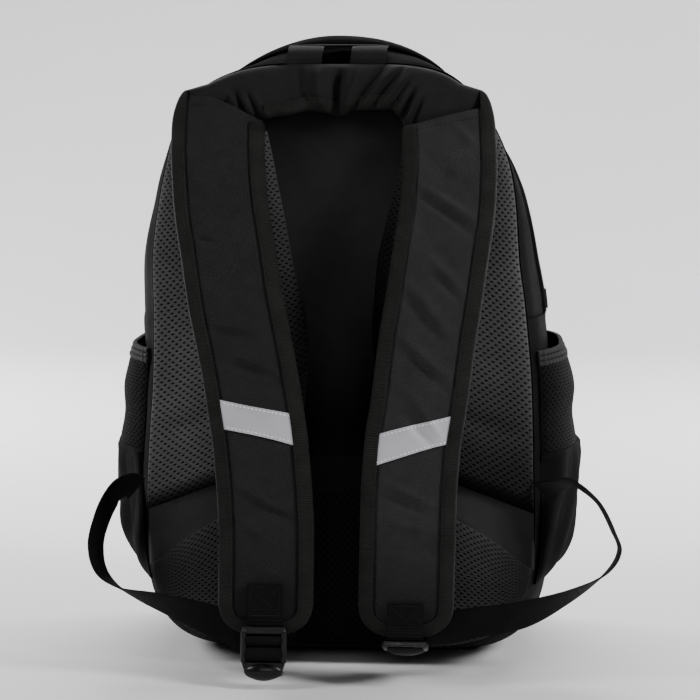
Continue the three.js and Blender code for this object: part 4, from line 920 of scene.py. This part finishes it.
def add_pocket(name, side):
    cloth = pocket_grid(side, POCKET_LOW, POCKET_MESH_LOW, (60, 70))
    u, v = unit_grid(cloth)
    sway = FOLD_SWAY * np.sin(v * FOLD_SWAY_TURN + side)
    folds = POCKET_FOLD * np.sin(u * FOLD_TURN + sway) * plateau(u, 5) * plateau(v, 3)
    lift = folds + SEAM_LEDGE * hump(v, LEDGE_AT, LEDGE_WIDE)
    add_wall(f"pocket_cloth_{name}", cloth, POCKET_CLOTH_SHADED_LOOK, 1.2, 21 + side, thick=POCKET_CLOTH, lift=lift)

    wide, high = POCKET_HOLES
    mesh = pocket_grid(side, POCKET_MESH_LOW, POCKET_MESH_HIGH, (wide * HOLE_STEPS, high * HOLE_STEPS))
    face = outward(mesh)
    u, v = unit_grid(mesh)
    periods = stacked(u * wide, v * high)
    outer = mesh - face * (dimples(u * wide, v * high) * POCKET_HOLE_SHARE)[..., None]
    inner = mesh - face * POCKET_MESH
    made = shell(f"pocket_mesh_{name}", outer, inner, POCKET_MESH_SHADED_LOOK, "pocket_mesh", periods, sharp=180)
    sewn(made, mesh)

    hem = pocket_grid(side, POCKET_MESH_HIGH, POCKET_HIGH, (160, 24))
    face = outward(hem)
    u, v = unit_grid(hem)
    sway = HEM_SWAY * np.sin(u * HEM_SWAY_TURN)
    gather = HEM_GATHER * np.sin(u * 2 * math.pi * HEM_GATHERS + sway)
    ribs = HEM_RIB * np.abs(np.sin(v * math.pi * HEM_RIBS)) ** HEM_RIB_ROUND
    outer = hem + face * (gather + ribs)[..., None]
    inner = hem - face * HEM_THICK
    made = shell(f"pocket_hem_{name}", outer, inner, BIND_LOOK, "binding_tape", cloth_uv(hem))
    sewn(made, hem)


for name, side in SIDES.items():
    add_pocket(name, side)


# Shoulder straps
class Strap:
    """The strap's middle line by its running length, with the directions across it and out of its face."""

    z = np.linspace(STRAP_LINE["z"][0], STRAP_LINE["z"][-1], 600)
    line = stacked(column(STRAP_LINE, "z", "x", z), column(STRAP_LINE, "z", "y", z), z)
    run = running(line)
    length = float(run[-1])
    corner = length - STRAP_END
    down = unit(np.gradient(line, axis=0))

    @classmethod
    def frame(cls, along):
        inside = np.clip(along, 0, cls.length)
        down = unit(along_line(inside, cls.run, cls.down))
        point = along_line(inside, cls.run, cls.line) + down * (along - inside)[..., None]
        across = unit(np.array([1.0, 0, 0]) - down[..., :1] * down)
        return point, down, across, np.cross(down, across)

    @classmethod
    def point(cls, side, along, across, height):
        along, across, height = np.broadcast_arrays(*(np.asarray(v, float) for v in (along, across, height)))
        middle, _, sideways, out = cls.frame(along)
        place = middle + sideways * across[..., None] + out * height[..., None]
        return place * np.array([side, 1, 1])


def strap_face(inward):
    return STRAP_EDGE + STRAP_CROWN * (1 - np.exp(-inward / STRAP_REACH))


def strap_seam(name, across):
    return column(STRAP_SEAM[name], "across", "along", across)


def strap_half(along, inset):
    past = np.clip(along - Strap.corner, 0, None) / (STRAP_END - inset)
    return (STRAP_HALF - inset) * np.clip(1 - past**STRAP_END_POWER, 0, 1) ** (1 / STRAP_END_POWER)


def strap_creases(name, along, across):
    """Slack in the cover: a soft unevenness, and the creases of the strap's table."""
    lift = waves(along, across, STRAP_UNEVEN_SIZE, STRAP_SEEDS[name]) * STRAP_UNEVEN
    for place, middle, turn, long, wide, depth in zip(*STRAP_CREASES[name].values()):
        angle = math.radians(turn)
        ahead, aside = along - place, across - middle
        down_crease = (ahead * math.cos(angle) + aside * math.sin(angle)) / long
        over_crease = (aside * math.cos(angle) - ahead * math.sin(angle)) / wide
        lift = lift + depth * np.exp(-(down_crease**2) - over_crease**2)
    return lift


def shoulder_edge(t):
    """The outer edge of the strap's rounded shoulder, from its top at 0 to where it runs straight at 1."""
    angle = (1 - t) * math.pi / 2
    power = 2 / SHOULDER_POWER
    along = lerp(SHOULDER_BASE, SHOULDER_TOP, np.sin(angle) ** power)
    return along, STRAP_HALF - BIND_WIDTH * (1 - np.clip(np.cos(angle), 0, 1) ** power)


def shoulder_inner(name, t):
    """The line in from the shoulder's edge by the tape's width."""
    inner = STRAP_HALF - BIND_WIDTH
    return lerp(strap_seam(name, inner), SHOULDER_BASE, t), inner + 0 * t


def strap_places(name):
    """Places along and across a strap's cover, and how far each lies in from its edge."""
    columns = np.linspace(-1, 1, STRAP_COLUMNS) * (STRAP_HALF - BIND_LIP)
    inward = STRAP_HALF - np.abs(columns)
    taped = columns > STRAP_HALF - BIND_WIDTH
    share = inward[taped] / BIND_WIDTH
    rows = []
    for t in np.linspace(0, 1, SHOULDER_ROWS, endpoint=False):
        along = lerp(strap_seam(name, columns) - SEAM_LAP, SHOULDER_BASE, t)
        across = columns.copy()
        for values, outer, inner in zip((along, across), shoulder_edge(t), shoulder_inner(name, t)):
            values[taped] = lerp(outer, inner, share)
        rows.append((along, across, inward))
    for along in np.linspace(SHOULDER_BASE, Strap.corner, STRAP_ROWS, endpoint=False):
        rows.append((np.full_like(columns, along), columns, inward))
    for angle in np.linspace(0, math.pi / 2, END_ROWS):
        along = lerp(Strap.corner, Strap.length - BIND_LIP - END_CLEAR, math.sin(angle))
        across = columns * strap_half(along, BIND_LIP) / (STRAP_HALF - BIND_LIP)
        from_edge = np.minimum(strap_half(along, 0) - np.abs(across), Strap.length - along)
        rows.append((np.full_like(columns, along), across, from_edge))
    return np.array(rows).transpose(1, 0, 2)


def slack_at(inward):
    """How free the cover is to crease at a distance in from the strap's edge."""
    return np.clip((inward - BIND_WIDTH) / SLACK_REACH, 0, 1)


def add_strap(name, side):
    along, across, inward = strap_places(name)
    groove = GROOVE_DEPTH * hump(inward, BIND_WIDTH + GROOVE_IN, GROOVE_WIDE)
    face = strap_face(inward) + strap_creases(name, along, across) * slack_at(inward) - groove
    outer = Strap.point(side, along, across, face)
    inner = Strap.point(side, along, across, -STRAP_BACK)
    uv = stacked(across, along) * MM
    made = shell(f"strap_{name}", outer, inner, STRAP_LIT_AND_SHADED_LOOKS[name], "black_cloth", uv, hangs=name)


def strap_edge(name):
    """The strap's edge from its outer top: places along and across the strap, and the way in from each."""
    t = np.linspace(0, 1, SHOULDER_ROWS, endpoint=False)
    straight = np.linspace(SHOULDER_BASE, Strap.corner, EDGE_ROWS, endpoint=False)
    angle = np.linspace(0, math.pi / 2, EDGE_END_ROWS)
    power = 2 / STRAP_END_POWER
    bend = Strap.corner + STRAP_END * np.sin(angle) ** power
    width = STRAP_HALF * np.clip(np.cos(angle), 0, 1) ** power
    start = lerp(strap_seam(name, -STRAP_HALF), SHOULDER_BASE, t)
    outer = stacked(*shoulder_edge(t))
    route = np.concatenate([
        outer,
        stacked(straight, STRAP_HALF),
        stacked(bend, width),
        stacked(bend, -width)[-2::-1],
        stacked(straight, -STRAP_HALF)[::-1],
        stacked(start, -STRAP_HALF)[::-1],
    ])
    run = unit(np.gradient(route, axis=0))
    inward = stacked(run[:, 1], -run[:, 0])
    inward[: len(t)] = (stacked(*shoulder_inner(name, t)) - outer) / BIND_WIDTH
    return route, inward


def tape_profile(face, back):
    """Section of a tape folded round an edge, from hem to hem: distances in from the edge and heights."""
    over = BIND_OVER + BIND_THICK

    def front(d):
        return float(face(d)) + over + BIND_PUFF * math.sin(math.pi * min(d / BIND_WIDTH, 1)) ** PUFF_ROUND

    top, bottom = front(BIND_TURN), -back - over
    middle, reach = (top + bottom) / 2, (top - bottom) / 2
    section = [(BIND_WIDTH + BIND_HEM, front(BIND_WIDTH) - over)]
    section += [(d, front(d)) for d in np.linspace(BIND_WIDTH, BIND_TURN, 10)]
    for angle in np.linspace(0.15, 0.85, 7) * math.pi:
        section.append((BIND_TURN * (1 - math.sin(angle)), middle + reach * math.cos(angle)))
    section += [(d, bottom) for d in np.linspace(BIND_TURN, BIND_WIDTH, 5)]
    return np.array(section, float)


def tape_lining(profile, split):
    """The inner side of a tape's section. split is the height of the middle of what it folds round."""
    hug = np.where(profile[:, 1] > split, -BIND_HUG, BIND_HUG)
    return stacked(np.maximum(profile[:, 0], BIND_INSIDE), profile[:, 1] + hug)


def add_binding(name, side):
    route, inward = strap_edge(name)
    outer_section = tape_profile(strap_face, STRAP_BACK)
    grids = []
    for section in (outer_section, tape_lining(outer_section, 0)):
        along = route[:, :1] + inward[:, :1] * section[:, 0]
        across = route[:, 1:] + inward[:, 1:] * section[:, 0]
        grids.append(Strap.point(side, along, across, section[None, :, 1]))
    made = shell(f"strap_binding_{name}", *grids, BIND_LOOK, "binding_tape", hangs=name)
    sewn(made, grids[0])


def reflector_places(name, across, offset):
    """Places along the strap, and heights, of a line across the reflector at an offset from its middle."""
    slope = math.tan(math.radians(REFLECTOR_SLANT[name]))
    along = Strap.length - REFLECTOR_FROM_END[name] - across * slope + offset
    inward = STRAP_HALF - np.abs(across)
    height = strap_face(inward) + strap_creases(name, along, across) * slack_at(inward)
    return along, height


def add_reflector(name, side):
    u, v = unit_square(41, 13)
    across = (2 * u - 1) * (STRAP_HALF - BIND_WIDTH + REFLECTOR_TUCK)
    along, height = reflector_places(name, across, (v - 0.5) * REFLECTOR_WIDTH)
    outer = Strap.point(side, along, across, height + REFLECTOR_LIFT)
    inner = Strap.point(side, along, across, height - REFLECTOR_SUNK)
    made = shell(f"reflector_{name}", outer, inner, REFLECT_LOOK, "reflective_tape", hangs=name)
    sewn(made, outer)


for name, side in SIDES.items():
    add_strap(name, side)
    add_binding(name, side)
    add_reflector(name, side)


# Yoke
def panel_top(x):
    edge_x, edge_z, _ = half_outline(0)
    upper = edge_z > UPPER_HALF
    return np.interp(np.abs(x), edge_x[upper][::-1], edge_z[upper][::-1])


def yoke_top(x):
    inward = np.minimum(YOKE_HALF - np.abs(x), YOKE_CORNER_REACH)
    return np.maximum(panel_top(x) - YOKE_INSET, YOKE_CORNER + YOKE_CORNER_SLOPE * inward)


def yoke_low(x):
    """Lower edge of the yoke: free between the straps, and along the strap seams outside that."""
    away = np.abs(x) - STRAP_LINE["x"][0]
    seam = np.where(x < 0, strap_seam("left", away), strap_seam("right", away))
    sewn_edge = STRAP_LINE["z"][0] - seam + YOKE_GAP
    return np.where(np.abs(x) < YOKE_EDGE["x"][-1], column(YOKE_EDGE, "x", "z", x), sewn_edge)


def yoke_face(x, z):
    top, low = yoke_top(x), yoke_low(x)
    up = np.clip((z - low) / (top - low), 0, 1)
    across = np.clip(x / YOKE_HALF, -1, 1)
    height = lerp(YOKE_LIP, YOKE_THICK, plateau(up, 4) * plateau((across + 1) / 2, 14))
    for place, depth, width, slant, start, end in zip(*YOKE_FOLDS.values()):
        share = np.clip((z - start) / FOLD_START, 0, 1) * np.clip((end - z) / FOLD_STOP, 0, 1)
        height = height - GATHER * depth * hump(x, place + slant * (z - FOLDS_FROM), width) * share
    height = height + waves(x, z * YOKE_UNEVEN_TALL, YOKE_UNEVEN_SIZE, 41) * YOKE_UNEVEN * plateau(up, 4)
    return np.maximum(height, YOKE_THIN)


def yoke_point(x, z, height):
    return stacked(x, back_y(z) - YOKE_OFF - height, z)


def add_yoke():
    u, v = unit_square(321, 71)
    x = (2 * u - 1) * YOKE_HALF
    z = lerp(yoke_low(x), yoke_top(x), v)
    outer = yoke_point(x, z, yoke_face(x, z))
    inner = yoke_point(x, z, 0 * x)
    made = shell("yoke", outer, inner, CLOTH_LOOK, "black_cloth", stacked(x, z) * MM)
    rings, linings = [], []
    for place in np.linspace(-YOKE_BOUND, YOKE_BOUND, 190):
        low = float(yoke_low(np.array(place)))
        section = tape_profile(lambda inward: yoke_face(np.array(place), low + inward) + YOKE_TAPE, 0.0)
        for grid, profile in ((rings, section), (linings, tape_lining(section, YOKE_TAPE_SPLIT))):
            grid.append(yoke_point(np.full(len(profile), place), low + profile[:, 0], profile[:, 1]))
    grid = np.array(rings)
    tape = shell("yoke_binding", grid, np.array(linings), BIND_LOOK, "binding_tape")
    sewn(tape, grid)


add_yoke()


# Webbing and ladder locks
def smooth_route(points, steps):
    """A smooth line through points, evenly divided between them."""
    points = np.asarray(points, float)
    padded = np.concatenate([[2 * points[0] - points[1]], points, [2 * points[-1] - points[-2]]])
    t = np.linspace(0, 1, steps, endpoint=False)[:, None]
    rows = []
    for a, b, c, d in zip(padded, padded[1:], padded[2:], padded[3:]):
        bend = (2 * a - 5 * b + 4 * c - d) * t**2 + (3 * b - a - 3 * c + d) * t**3
        rows.append(0.5 * (2 * b + (c - a) * t + bend))
    return np.concatenate([*rows, points[-1:]])


def ribbon_grids(points, widths, wide=WEB_WIDTH, thick=WEB_THICK, columns=8):
    """Front and back grids of a flat band along points. Its width follows widths."""
    run = unit(np.gradient(points, axis=0))
    across = unit(widths - run * np.sum(widths * run, axis=-1, keepdims=True))
    face = np.cross(run, across)
    place = np.linspace(-0.5, 0.5, columns + 1)
    swell = thick / 2 * (1 - WEB_EDGE_THIN * np.abs(2 * place) ** WEB_EDGE_POWER)
    middle = points[:, None] + across[:, None] * (place * wide)[None, :, None]
    lift = face[:, None] * swell[None, :, None]
    return middle + lift, middle - lift


def add_ribbon(name, points, widths, held, nodes, hangs="bag", look=WEB_LOOK, **shape):
    front, back = ribbon_grids(points, widths, **shape)
    made = shell(name, front, back, look, "webbing", nodes=nodes, sharp=70, hangs=hangs)
    sewn(made, front)


def lock_frame(name, side):
    """Places in the lock's own axes: across it, down it and out of its face."""
    from_end, height, tilt = LOCK_PLACE[name]
    _, down, across, out = Strap.frame(np.array(Strap.length))
    origin = Strap.point(1, Strap.length - from_end, 0, height)
    turn = math.radians(tilt)
    lock_down = down * math.cos(turn) - out * math.sin(turn)
    lock_out = np.cross(lock_down, across)

    axes = np.array([across, lock_down, lock_out])

    def place(x, d, n):
        return (origin + stacked(x, d, n) @ axes) * np.array([side, 1, 1])

    return place


def round_bar(place, down, start, end, long):
    """Webbing loosely round a cross bar, reaching long millimetres up and down from it."""
    angle = np.radians(np.linspace(start, end, 17))
    radius = BAR_RADIUS + BAR_CLEAR + WEB_THICK / 2
    return place(0, down + long * np.sin(angle), radius * np.cos(angle))


def joined(parts):
    """Points and faces of several closed shapes as one list."""
    points, faces, first = [], [], 0
    for part_points, part_faces in parts:
        points.append(np.asarray(part_points, float))
        faces += [[corner + first for corner in face] for face in part_faces]
        first += len(part_points)
    return np.concatenate(points), faces


def ring_faces(rings, sides):
    """Faces between neighbouring rings of points."""
    index = np.arange(rings * sides).reshape(rings, sides)
    after = np.roll(index, -1, axis=1)
    return stacked(index[:-1], after[:-1], after[1:], index[1:]).reshape(-1, 4).tolist()


def tube(points, radius, sides=16):
    """A round bar with closed ends along points. radius is one number or one for each point."""
    run = unit(np.gradient(points, axis=0))
    helper = np.array([0.0, 0.0, 1.0]) if abs(run[0][2]) < 0.9 else np.array([1.0, 0, 0])
    first = unit(np.cross(run, helper))
    second = np.cross(run, first)
    angle = np.linspace(0, 2 * math.pi, sides, endpoint=False)
    ring = first[:, None] * np.cos(angle)[None, :, None] + second[:, None] * np.sin(angle)[None, :, None]
    reach = np.broadcast_to(radius, len(points))[:, None, None]
    spots = (points[:, None] + ring * reach).reshape(-1, 3)
    ends = [list(range(sides))[::-1], list(range(len(spots) - sides, len(spots)))]
    return spots, ring_faces(len(points), sides) + ends


def lock_outline(steps):
    """Outer edge of the lock: square shoulders and a rounded nose."""
    half = LOCK_WIDTH / 2
    t = np.linspace(0, 1, steps)[:, None]
    start, bend, tip = np.array([[half, LOCK_SHOULDER], [half - NOSE_IN, LOCK_LENGTH], [0, LOCK_LENGTH]])
    curve = (1 - t) ** 2 * start + 2 * (1 - t) * t * bend + t**2 * tip
    right = np.concatenate([[[half - LOCK_CORNER, 0], [half, LOCK_CORNER]], curve])
    return np.concatenate([right, (right * [-1, 1])[::-1][1:]])


def lock_plate(name, place):
    """The lock's flat frame with its window and rounded edges."""
    drawing = bpy.data.curves.new(f"lock_outline_{name}", "CURVE")
    drawing.dimensions = "2D"
    drawing.fill_mode = "BOTH"
    inside = LOCK_WIDTH / 2 - LOCK_RAIL
    window = stacked(inside * np.array([-1, -1, 1, 1]), [LOCK_PLATE, WINDOW_END, WINDOW_END, LOCK_PLATE])
    for ring in (lock_outline(14), window):
        spline = drawing.splines.new("POLY")
        spline.points.add(len(ring) - 1)
        spline.points.foreach_set("co", np.pad(ring, ((0, 0), (0, 2))).ravel())
        spline.use_cyclic_u = True
    drawing.extrude = LOCK_THICK / 2 - LOCK_BEVEL
    drawing.bevel_depth = LOCK_BEVEL
    drawing.bevel_resolution = 3
    drawing.offset = -LOCK_BEVEL
    drawn = bpy.data.objects.new("lock_outline", drawing)
    bpy.context.scene.collection.objects.link(drawn)
    flat = bpy.data.meshes.new_from_object(drawn.evaluated_get(bpy.context.evaluated_depsgraph_get()))
    bpy.data.objects.remove(drawn)
    spots = np.array([v.co for v in flat.vertices])
    faces = [list(p.vertices) for p in flat.polygons]
    bpy.data.meshes.remove(flat)
    return place(*spots.T), faces


def lock_nose(place):
    """The glossy bulge at the lock's lower end."""
    around = np.linspace(0, 2 * math.pi, 40, endpoint=False)
    u, v = np.meshgrid(around, np.linspace(-math.pi / 2, math.pi / 2, 21))
    nose = place(
        LOCK_WIDTH / 2 * NOSE_WIDE * np.cos(v) * np.cos(u),
        (WINDOW_END + LOCK_LENGTH) / 2 + (LOCK_LENGTH - WINDOW_END) * NOSE_LONG * np.cos(v) * np.sin(u),
        (LOCK_THICK / 2 + NOSE_BULGE) * np.sin(v),
    )
    return nose.reshape(-1, 3), ring_faces(*nose.shape[:2])


def add_lock(name, side):
    place = lock_frame(name, side)
    inside = LOCK_WIDTH / 2 - LOCK_RAIL
    parts = [lock_plate(name, place), lock_nose(place)]
    for down in LOCK_BARS:
        parts.append(tube(place(np.linspace(-1, 1, 5) * (inside + BAR_TUCK), down, 0), BAR_RADIUS))
    down = np.linspace(POST_TOP, WINDOW_END + POST_LOW, 24)
    share = (down - down[0] + POST_TAPER) / (down[-1] - down[0] + 2 * POST_TAPER)
    swell = np.maximum(POST_RADIUS * plateau(share, 10), POST_LEAST)
    for flank in (-1, 1):
        parts.append(tube(place(flank * (LOCK_WIDTH / 2 - POST_IN), down, POST_OUT), swell))
    points, faces = joined(parts)
    mesh = finished_mesh(f"ladder_lock_{name}", points, faces, sharp=40, hangs=name)
    piece(f"ladder_lock_{name}", mesh, PLASTIC_LOOK, "black_plastic", f"ladder_lock_{name}")


def add_webbing(name, side):
    place = lock_frame(name, side)
    width = place(1, 0, 0) - place(0, 0, 0)
    top = Strap.length - TAB_TOP[name]
    stop = lerp(top, Strap.length - LOCK_PLACE[name][0], TAB_FREE)
    on_face = strap_face(STRAP_HALF) + TAB_LIFT + WEB_THICK / 2
    sewn_part = Strap.point(side, np.linspace(top, stop, 6), 0, on_face - TAB_SUNK)
    behind_plate = place(0, 0, -LOCK_THICK / 2 - PLATE_CLEAR)[None]
    start = smooth_route(np.concatenate([sewn_part, behind_plate]), 4)
    tab = np.concatenate([start, round_bar(place, LOCK_BARS[0], 180, -50, TAB_ROUND)])
    tab_widths = np.broadcast_to(width, tab.shape)
    add_ribbon(f"strap_tab_{name}", tab, tab_widths, "folded", [f"strap_tab_{name}"], name)

    route = WEB_ROUTE[name]
    loop = smooth_route(stacked(route["x"], route["y"], route["z"]), 10)
    loop_widths = smooth_route(stacked(route["wx"], route["wy"], route["wz"]), 10)
    behind_nose = -LOCK_THICK / 2 - NOSE_BULGE - TAIL_CLEAR
    entry = place(0, LOCK_BARS[1] - THREAD_ABOVE, -THREAD_BEHIND)[None]
    tail_down = np.array([WINDOW_END, WINDOW_END + TAIL_BEND, LOCK_LENGTH - TAIL_END])
    tail = place(0, tail_down, behind_nose + np.array([TAIL_BEND / 2, 0, 0]))
    threaded = np.concatenate([entry, round_bar(place, LOCK_BARS[1], -110, 120, WEB_ROUND), tail])
    whole = np.concatenate([loop, threaded])
    whole_widths = np.concatenate([loop_widths, np.broadcast_to(width, threaded.shape)])
    add_ribbon(f"lower_webbing_{name}", whole, whole_widths, "hung", [f"lower_webbing_{name}"], name)


def add_haul_loop():
    leg = smooth_route(stacked(0.0, HAUL_LEG["y"], HAUL_LEG["z"]), 8)
    along_x = np.broadcast_to(np.array([1.0, 0, 0]), leg.shape)
    for number, x in enumerate(HAUL_X):
        place = leg + np.array([x, 0, 0])
        add_ribbon(f"haul_leg_{number}", place, along_x, "folded", ["haul_loop"][number:], look=HAUL_LOOK)
    middle, reach = sum(HAUL_X) / 2, (HAUL_X[1] - HAUL_X[0] + WEB_WIDTH) / 2
    t = np.linspace(-1, 1, 30)
    grip_y, grip_z = HAUL_LEG["y"][-1] - HAUL_GRIP / 2 + HAUL_LAP, HAUL_LEG["z"][-1]
    grip = stacked(middle + reach * t, grip_y, grip_z + HAUL_ARCH * (1 - t * t))
    along_y = np.broadcast_to(np.array([0, 1.0, 0]), grip.shape)
    add_ribbon("haul_grip", grip, along_y, "folded", [], look=HAUL_LOOK, wide=HAUL_GRIP)


for name, side in SIDES.items():
    add_lock(name, side)
    add_webbing(name, side)
add_haul_loop()


# Stitches
def stitch_grains(points, out, length, wide, high):
    """A short raised stitch at each pair of neighbouring points, flattened on the cloth below it."""
    parts = []
    for a, b, up in zip(points[:-1:2], points[1::2], out[:-1:2]):
        run = unit(b - a)
        across = np.cross(run, up)
        middle = (a + b) / 2
        half, flank = run * length / 2, across * wide / 2
        waist = [middle + flank, middle + up * high, middle - flank, middle - up * high / 2]
        faces = []
        for i in range(4):
            k = (i + 1) % 4
            faces += [[0, 2 + i, 2 + k], [1, 2 + k, 2 + i]]
        parts.append((np.array([middle - half, middle + half] + waist), faces))
    return joined(parts)


def add_stitches(name, lines, look, slot, stitch, hangs="bag"):
    """Rows of stitches. Each line is its points and the direction out of the cloth at each of them."""
    pitch, length, wide, high = stitch
    parts = []
    for points, out in lines:
        run = running(points)
        goal = np.arange(0, run[-1], pitch / 2)
        spots, up = along_line(goal, run, points), unit(along_line(goal, run, out))
        parts.append(stitch_grains(spots, up, length, wide, high))
    points, faces = joined(parts)
    piece(name, finished_mesh(name, points, faces, sharp=30, hangs=hangs), look, slot)


def strap_line(side, along, across, height):
    """A line on a strap's face, with the direction out of the face along it."""
    low = Strap.point(side, along, across, height)
    return low, Strap.point(side, along, across, height + 1) - low


def add_strap_stitches(name, side):
    route, inward = strap_edge(name)
    reach = BIND_WIDTH - STITCH_IN
    spots = route + inward * reach
    height = strap_face(reach) + TAPE_RISE
    binding_line = strap_line(side, spots[:, 0], spots[:, 1], np.full(len(spots), height))
    add_stitches(f"binding_stitches_{name}", [binding_line], THREAD_LOOK, "binding_tape", BIND_STITCH, name)

    across = np.linspace(-1, 1, 40) * (STRAP_HALF - BIND_WIDTH)
    lines = []
    for edge in (-1, 1):
        along, height = reflector_places(name, across, edge * (REFLECTOR_WIDTH / 2 - STITCH_IN))
        lines.append(strap_line(side, along, across, height + REFLECTOR_RISE))
    full_name = f"reflector_stitches_{name}"
    add_stitches(full_name, lines, WHITE_THREAD_LOOK, "reflective_tape", REFLECTOR_STITCH, name)

    top, half = Strap.length - TAB_TOP[name] + TAB_STITCH_TOP, WEB_WIDTH / 2 - TAB_STITCH_IN
    low = top - TAB_STITCH_TOP + TAB_SEWN
    corners = np.array([(top, -half), (top, half), (low, half), (low, -half)])
    box = corners[[0, 1, 2, 3, 0, 2, 3, 1]]
    dense = np.concatenate([np.linspace(a, b, 12) for a, b in zip(box[:-1], box[1:])])
    height = np.full(len(dense), strap_face(STRAP_HALF) + TAB_LIFT + WEB_THICK - TAB_SINK)
    box_line = strap_line(side, dense[:, 0], dense[:, 1], height)
    add_stitches(f"tab_stitches_{name}", [box_line], TAB_THREAD_LIT_LOOK, "webbing", TAB_STITCH, name)

    across = np.linspace(-1, 1, 30) * (STRAP_HALF - BIND_WIDTH - SEAM_IN)
    along = strap_seam(name, across) + SEAM_BELOW
    seam_line = strap_line(side, along, across, strap_face(STRAP_HALF - np.abs(across)) + SEAM_RISE)
    add_stitches(f"seam_stitches_{name}", [seam_line], THREAD_LOOK, "black_cloth", SEAM_STITCH, name)


def add_yoke_stitches():
    x = np.linspace(-1, 1, 120) * (YOKE_BOUND - YOKE_STITCH_IN)
    z = yoke_low(x) + BIND_WIDTH - STITCH_IN
    line = yoke_point(x, z, yoke_face(x, z) + YOKE_TAPE + TAPE_RISE)
    out = np.broadcast_to(np.array([0, -1.0, 0]), line.shape)
    add_stitches("yoke_stitches", [(line, out)], THREAD_LOOK, "binding_tape", BIND_STITCH)


for name, side in SIDES.items():
    add_strap_stitches(name, side)
add_yoke_stitches()


# Zip teeth and slider
def add_zip():
    sides = [[0, 3, 2, 1], [4, 5, 6, 7], [0, 1, 5, 4], [1, 2, 6, 5], [2, 3, 7, 6], [3, 0, 4, 7]]
    parts = []
    for row, shift in ((-1, 0.0), (1, 0.5)):
        at = (ZIP_BACK + ZIP_FRONT) / 2 + row * TEETH_APART
        line = across_body(at, at + 1e-3, SIDE_SEAM_HIGH, 1, (800, 1))
        face = outward(line)[0]
        line = line[0] - face * TEETH_SUNK
        run = running(line)
        goal = np.arange(shift * TEETH_PITCH, run[-1], TEETH_PITCH)
        spots = along_line(goal, run, line)
        for p, n, d in zip(spots, along_line(goal, run, face), unit(np.gradient(spots, axis=0))):
            across = np.cross(d, n)
            corners = [
                p + across * a * TOOTH_WIDE + d * b * TOOTH_LONG + n * c
                for c in (TOOTH_LOW, TOOTH_HIGH)
                for a, b in ((-1, -1), (1, -1), (1, 1), (-1, 1))
            ]
            parts.append((np.array(corners), sides))
    points, faces = joined(parts)
    piece("zip_teeth", finished_mesh("zip_teeth", points, faces, sharp=30), METAL_LOOK, "zip_tape")


add_zip()
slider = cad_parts["zip_slider"].data
slider.materials.clear()
slider.materials.append(METAL_LOOK)


# Stage and light, in metres and watts. A light is its place, its target, its width and height, and its power
STAGE_HALF, STAGE_FRONT, STAGE_BACK, STAGE_RADIUS, STAGE_HEIGHT = 8.0, -8.0, 1.8, 1.1, 6.0
LIGHTS = {
    "left_softbox": ((-1.45, -0.8, 1.25), (0, 0, 0.24), (0.5, 0.8), 21),
    "right_softbox": ((1.5, -0.72, 1.25), (0, 0, 0.24), (0.4, 0.7), 37),
    "front_fill": ((0.12, -2.1, 0.9), (0, 0, 0.25), (1.0, 0.6), 7),
    "top_softbox": ((0, 0.95, 1.75), (0, 0.45, 0.0), (1.8, 1.0), 52),
    "wall_left": ((-1.4, 1.0, 0.6), (-0.75, 1.4, 0.0), (0.8, 0.5), 58),
    "wall_right": ((1.4, 1.0, 0.6), (0.85, 1.5, 0.0), (0.8, 0.5), 54),
}
WORLD_COLOR, WORLD_STRENGTH = (0.9, 0.9, 0.92, 1), 0.06


def add_stage():
    """A pale floor that curves up into a pale wall behind the bag."""
    bend = np.linspace(0, math.pi / 2, 24)
    line = [(STAGE_FRONT, 0.0)]
    line += [(STAGE_BACK + STAGE_RADIUS * math.sin(a), STAGE_RADIUS * (1 - math.cos(a))) for a in bend]
    line += [(STAGE_BACK + STAGE_RADIUS, STAGE_HEIGHT)]
    points = [(x * STAGE_HALF, y, z) for y, z in line for x in (-1, 1)]
    faces = [[2 * i, 2 * i + 1, 2 * i + 3, 2 * i + 2] for i in range(len(line) - 1)]
    mesh = bpy.data.meshes.new("floor")
    mesh.from_pydata(points, [], faces)
    mesh.polygons.foreach_set("use_smooth", np.ones(len(faces), bool))
    look = Look("pale_paper", (0.62, 0.61, 0.62), 0.85)
    look.tint(look.noise(400), (0.60, 0.59, 0.605), (0.64, 0.63, 0.645))
    mesh.materials.append(look.material)
    floor = bpy.data.objects.new("floor", mesh)
    bpy.context.scene.collection.objects.link(floor)


def add_light(name, place, target, size, power):
    data = bpy.data.lights.new(name, "AREA")
    data.shape = "RECTANGLE"
    data.size, data.size_y = size
    data.energy = power
    light = bpy.data.objects.new(name, data)
    light.location = place
    light.rotation_euler = (Vector(target) - Vector(place)).to_track_quat("-Z", "Y").to_euler()
    bpy.context.scene.collection.objects.link(light)


add_stage()
for name, light in LIGHTS.items():
    add_light(name, *light)
world = bpy.data.worlds.new("studio")
world.use_nodes = True
world.node_tree.nodes["Background"].inputs["Color"].default_value = WORLD_COLOR
world.node_tree.nodes["Background"].inputs["Strength"].default_value = WORLD_STRENGTH
bpy.context.scene.world = world
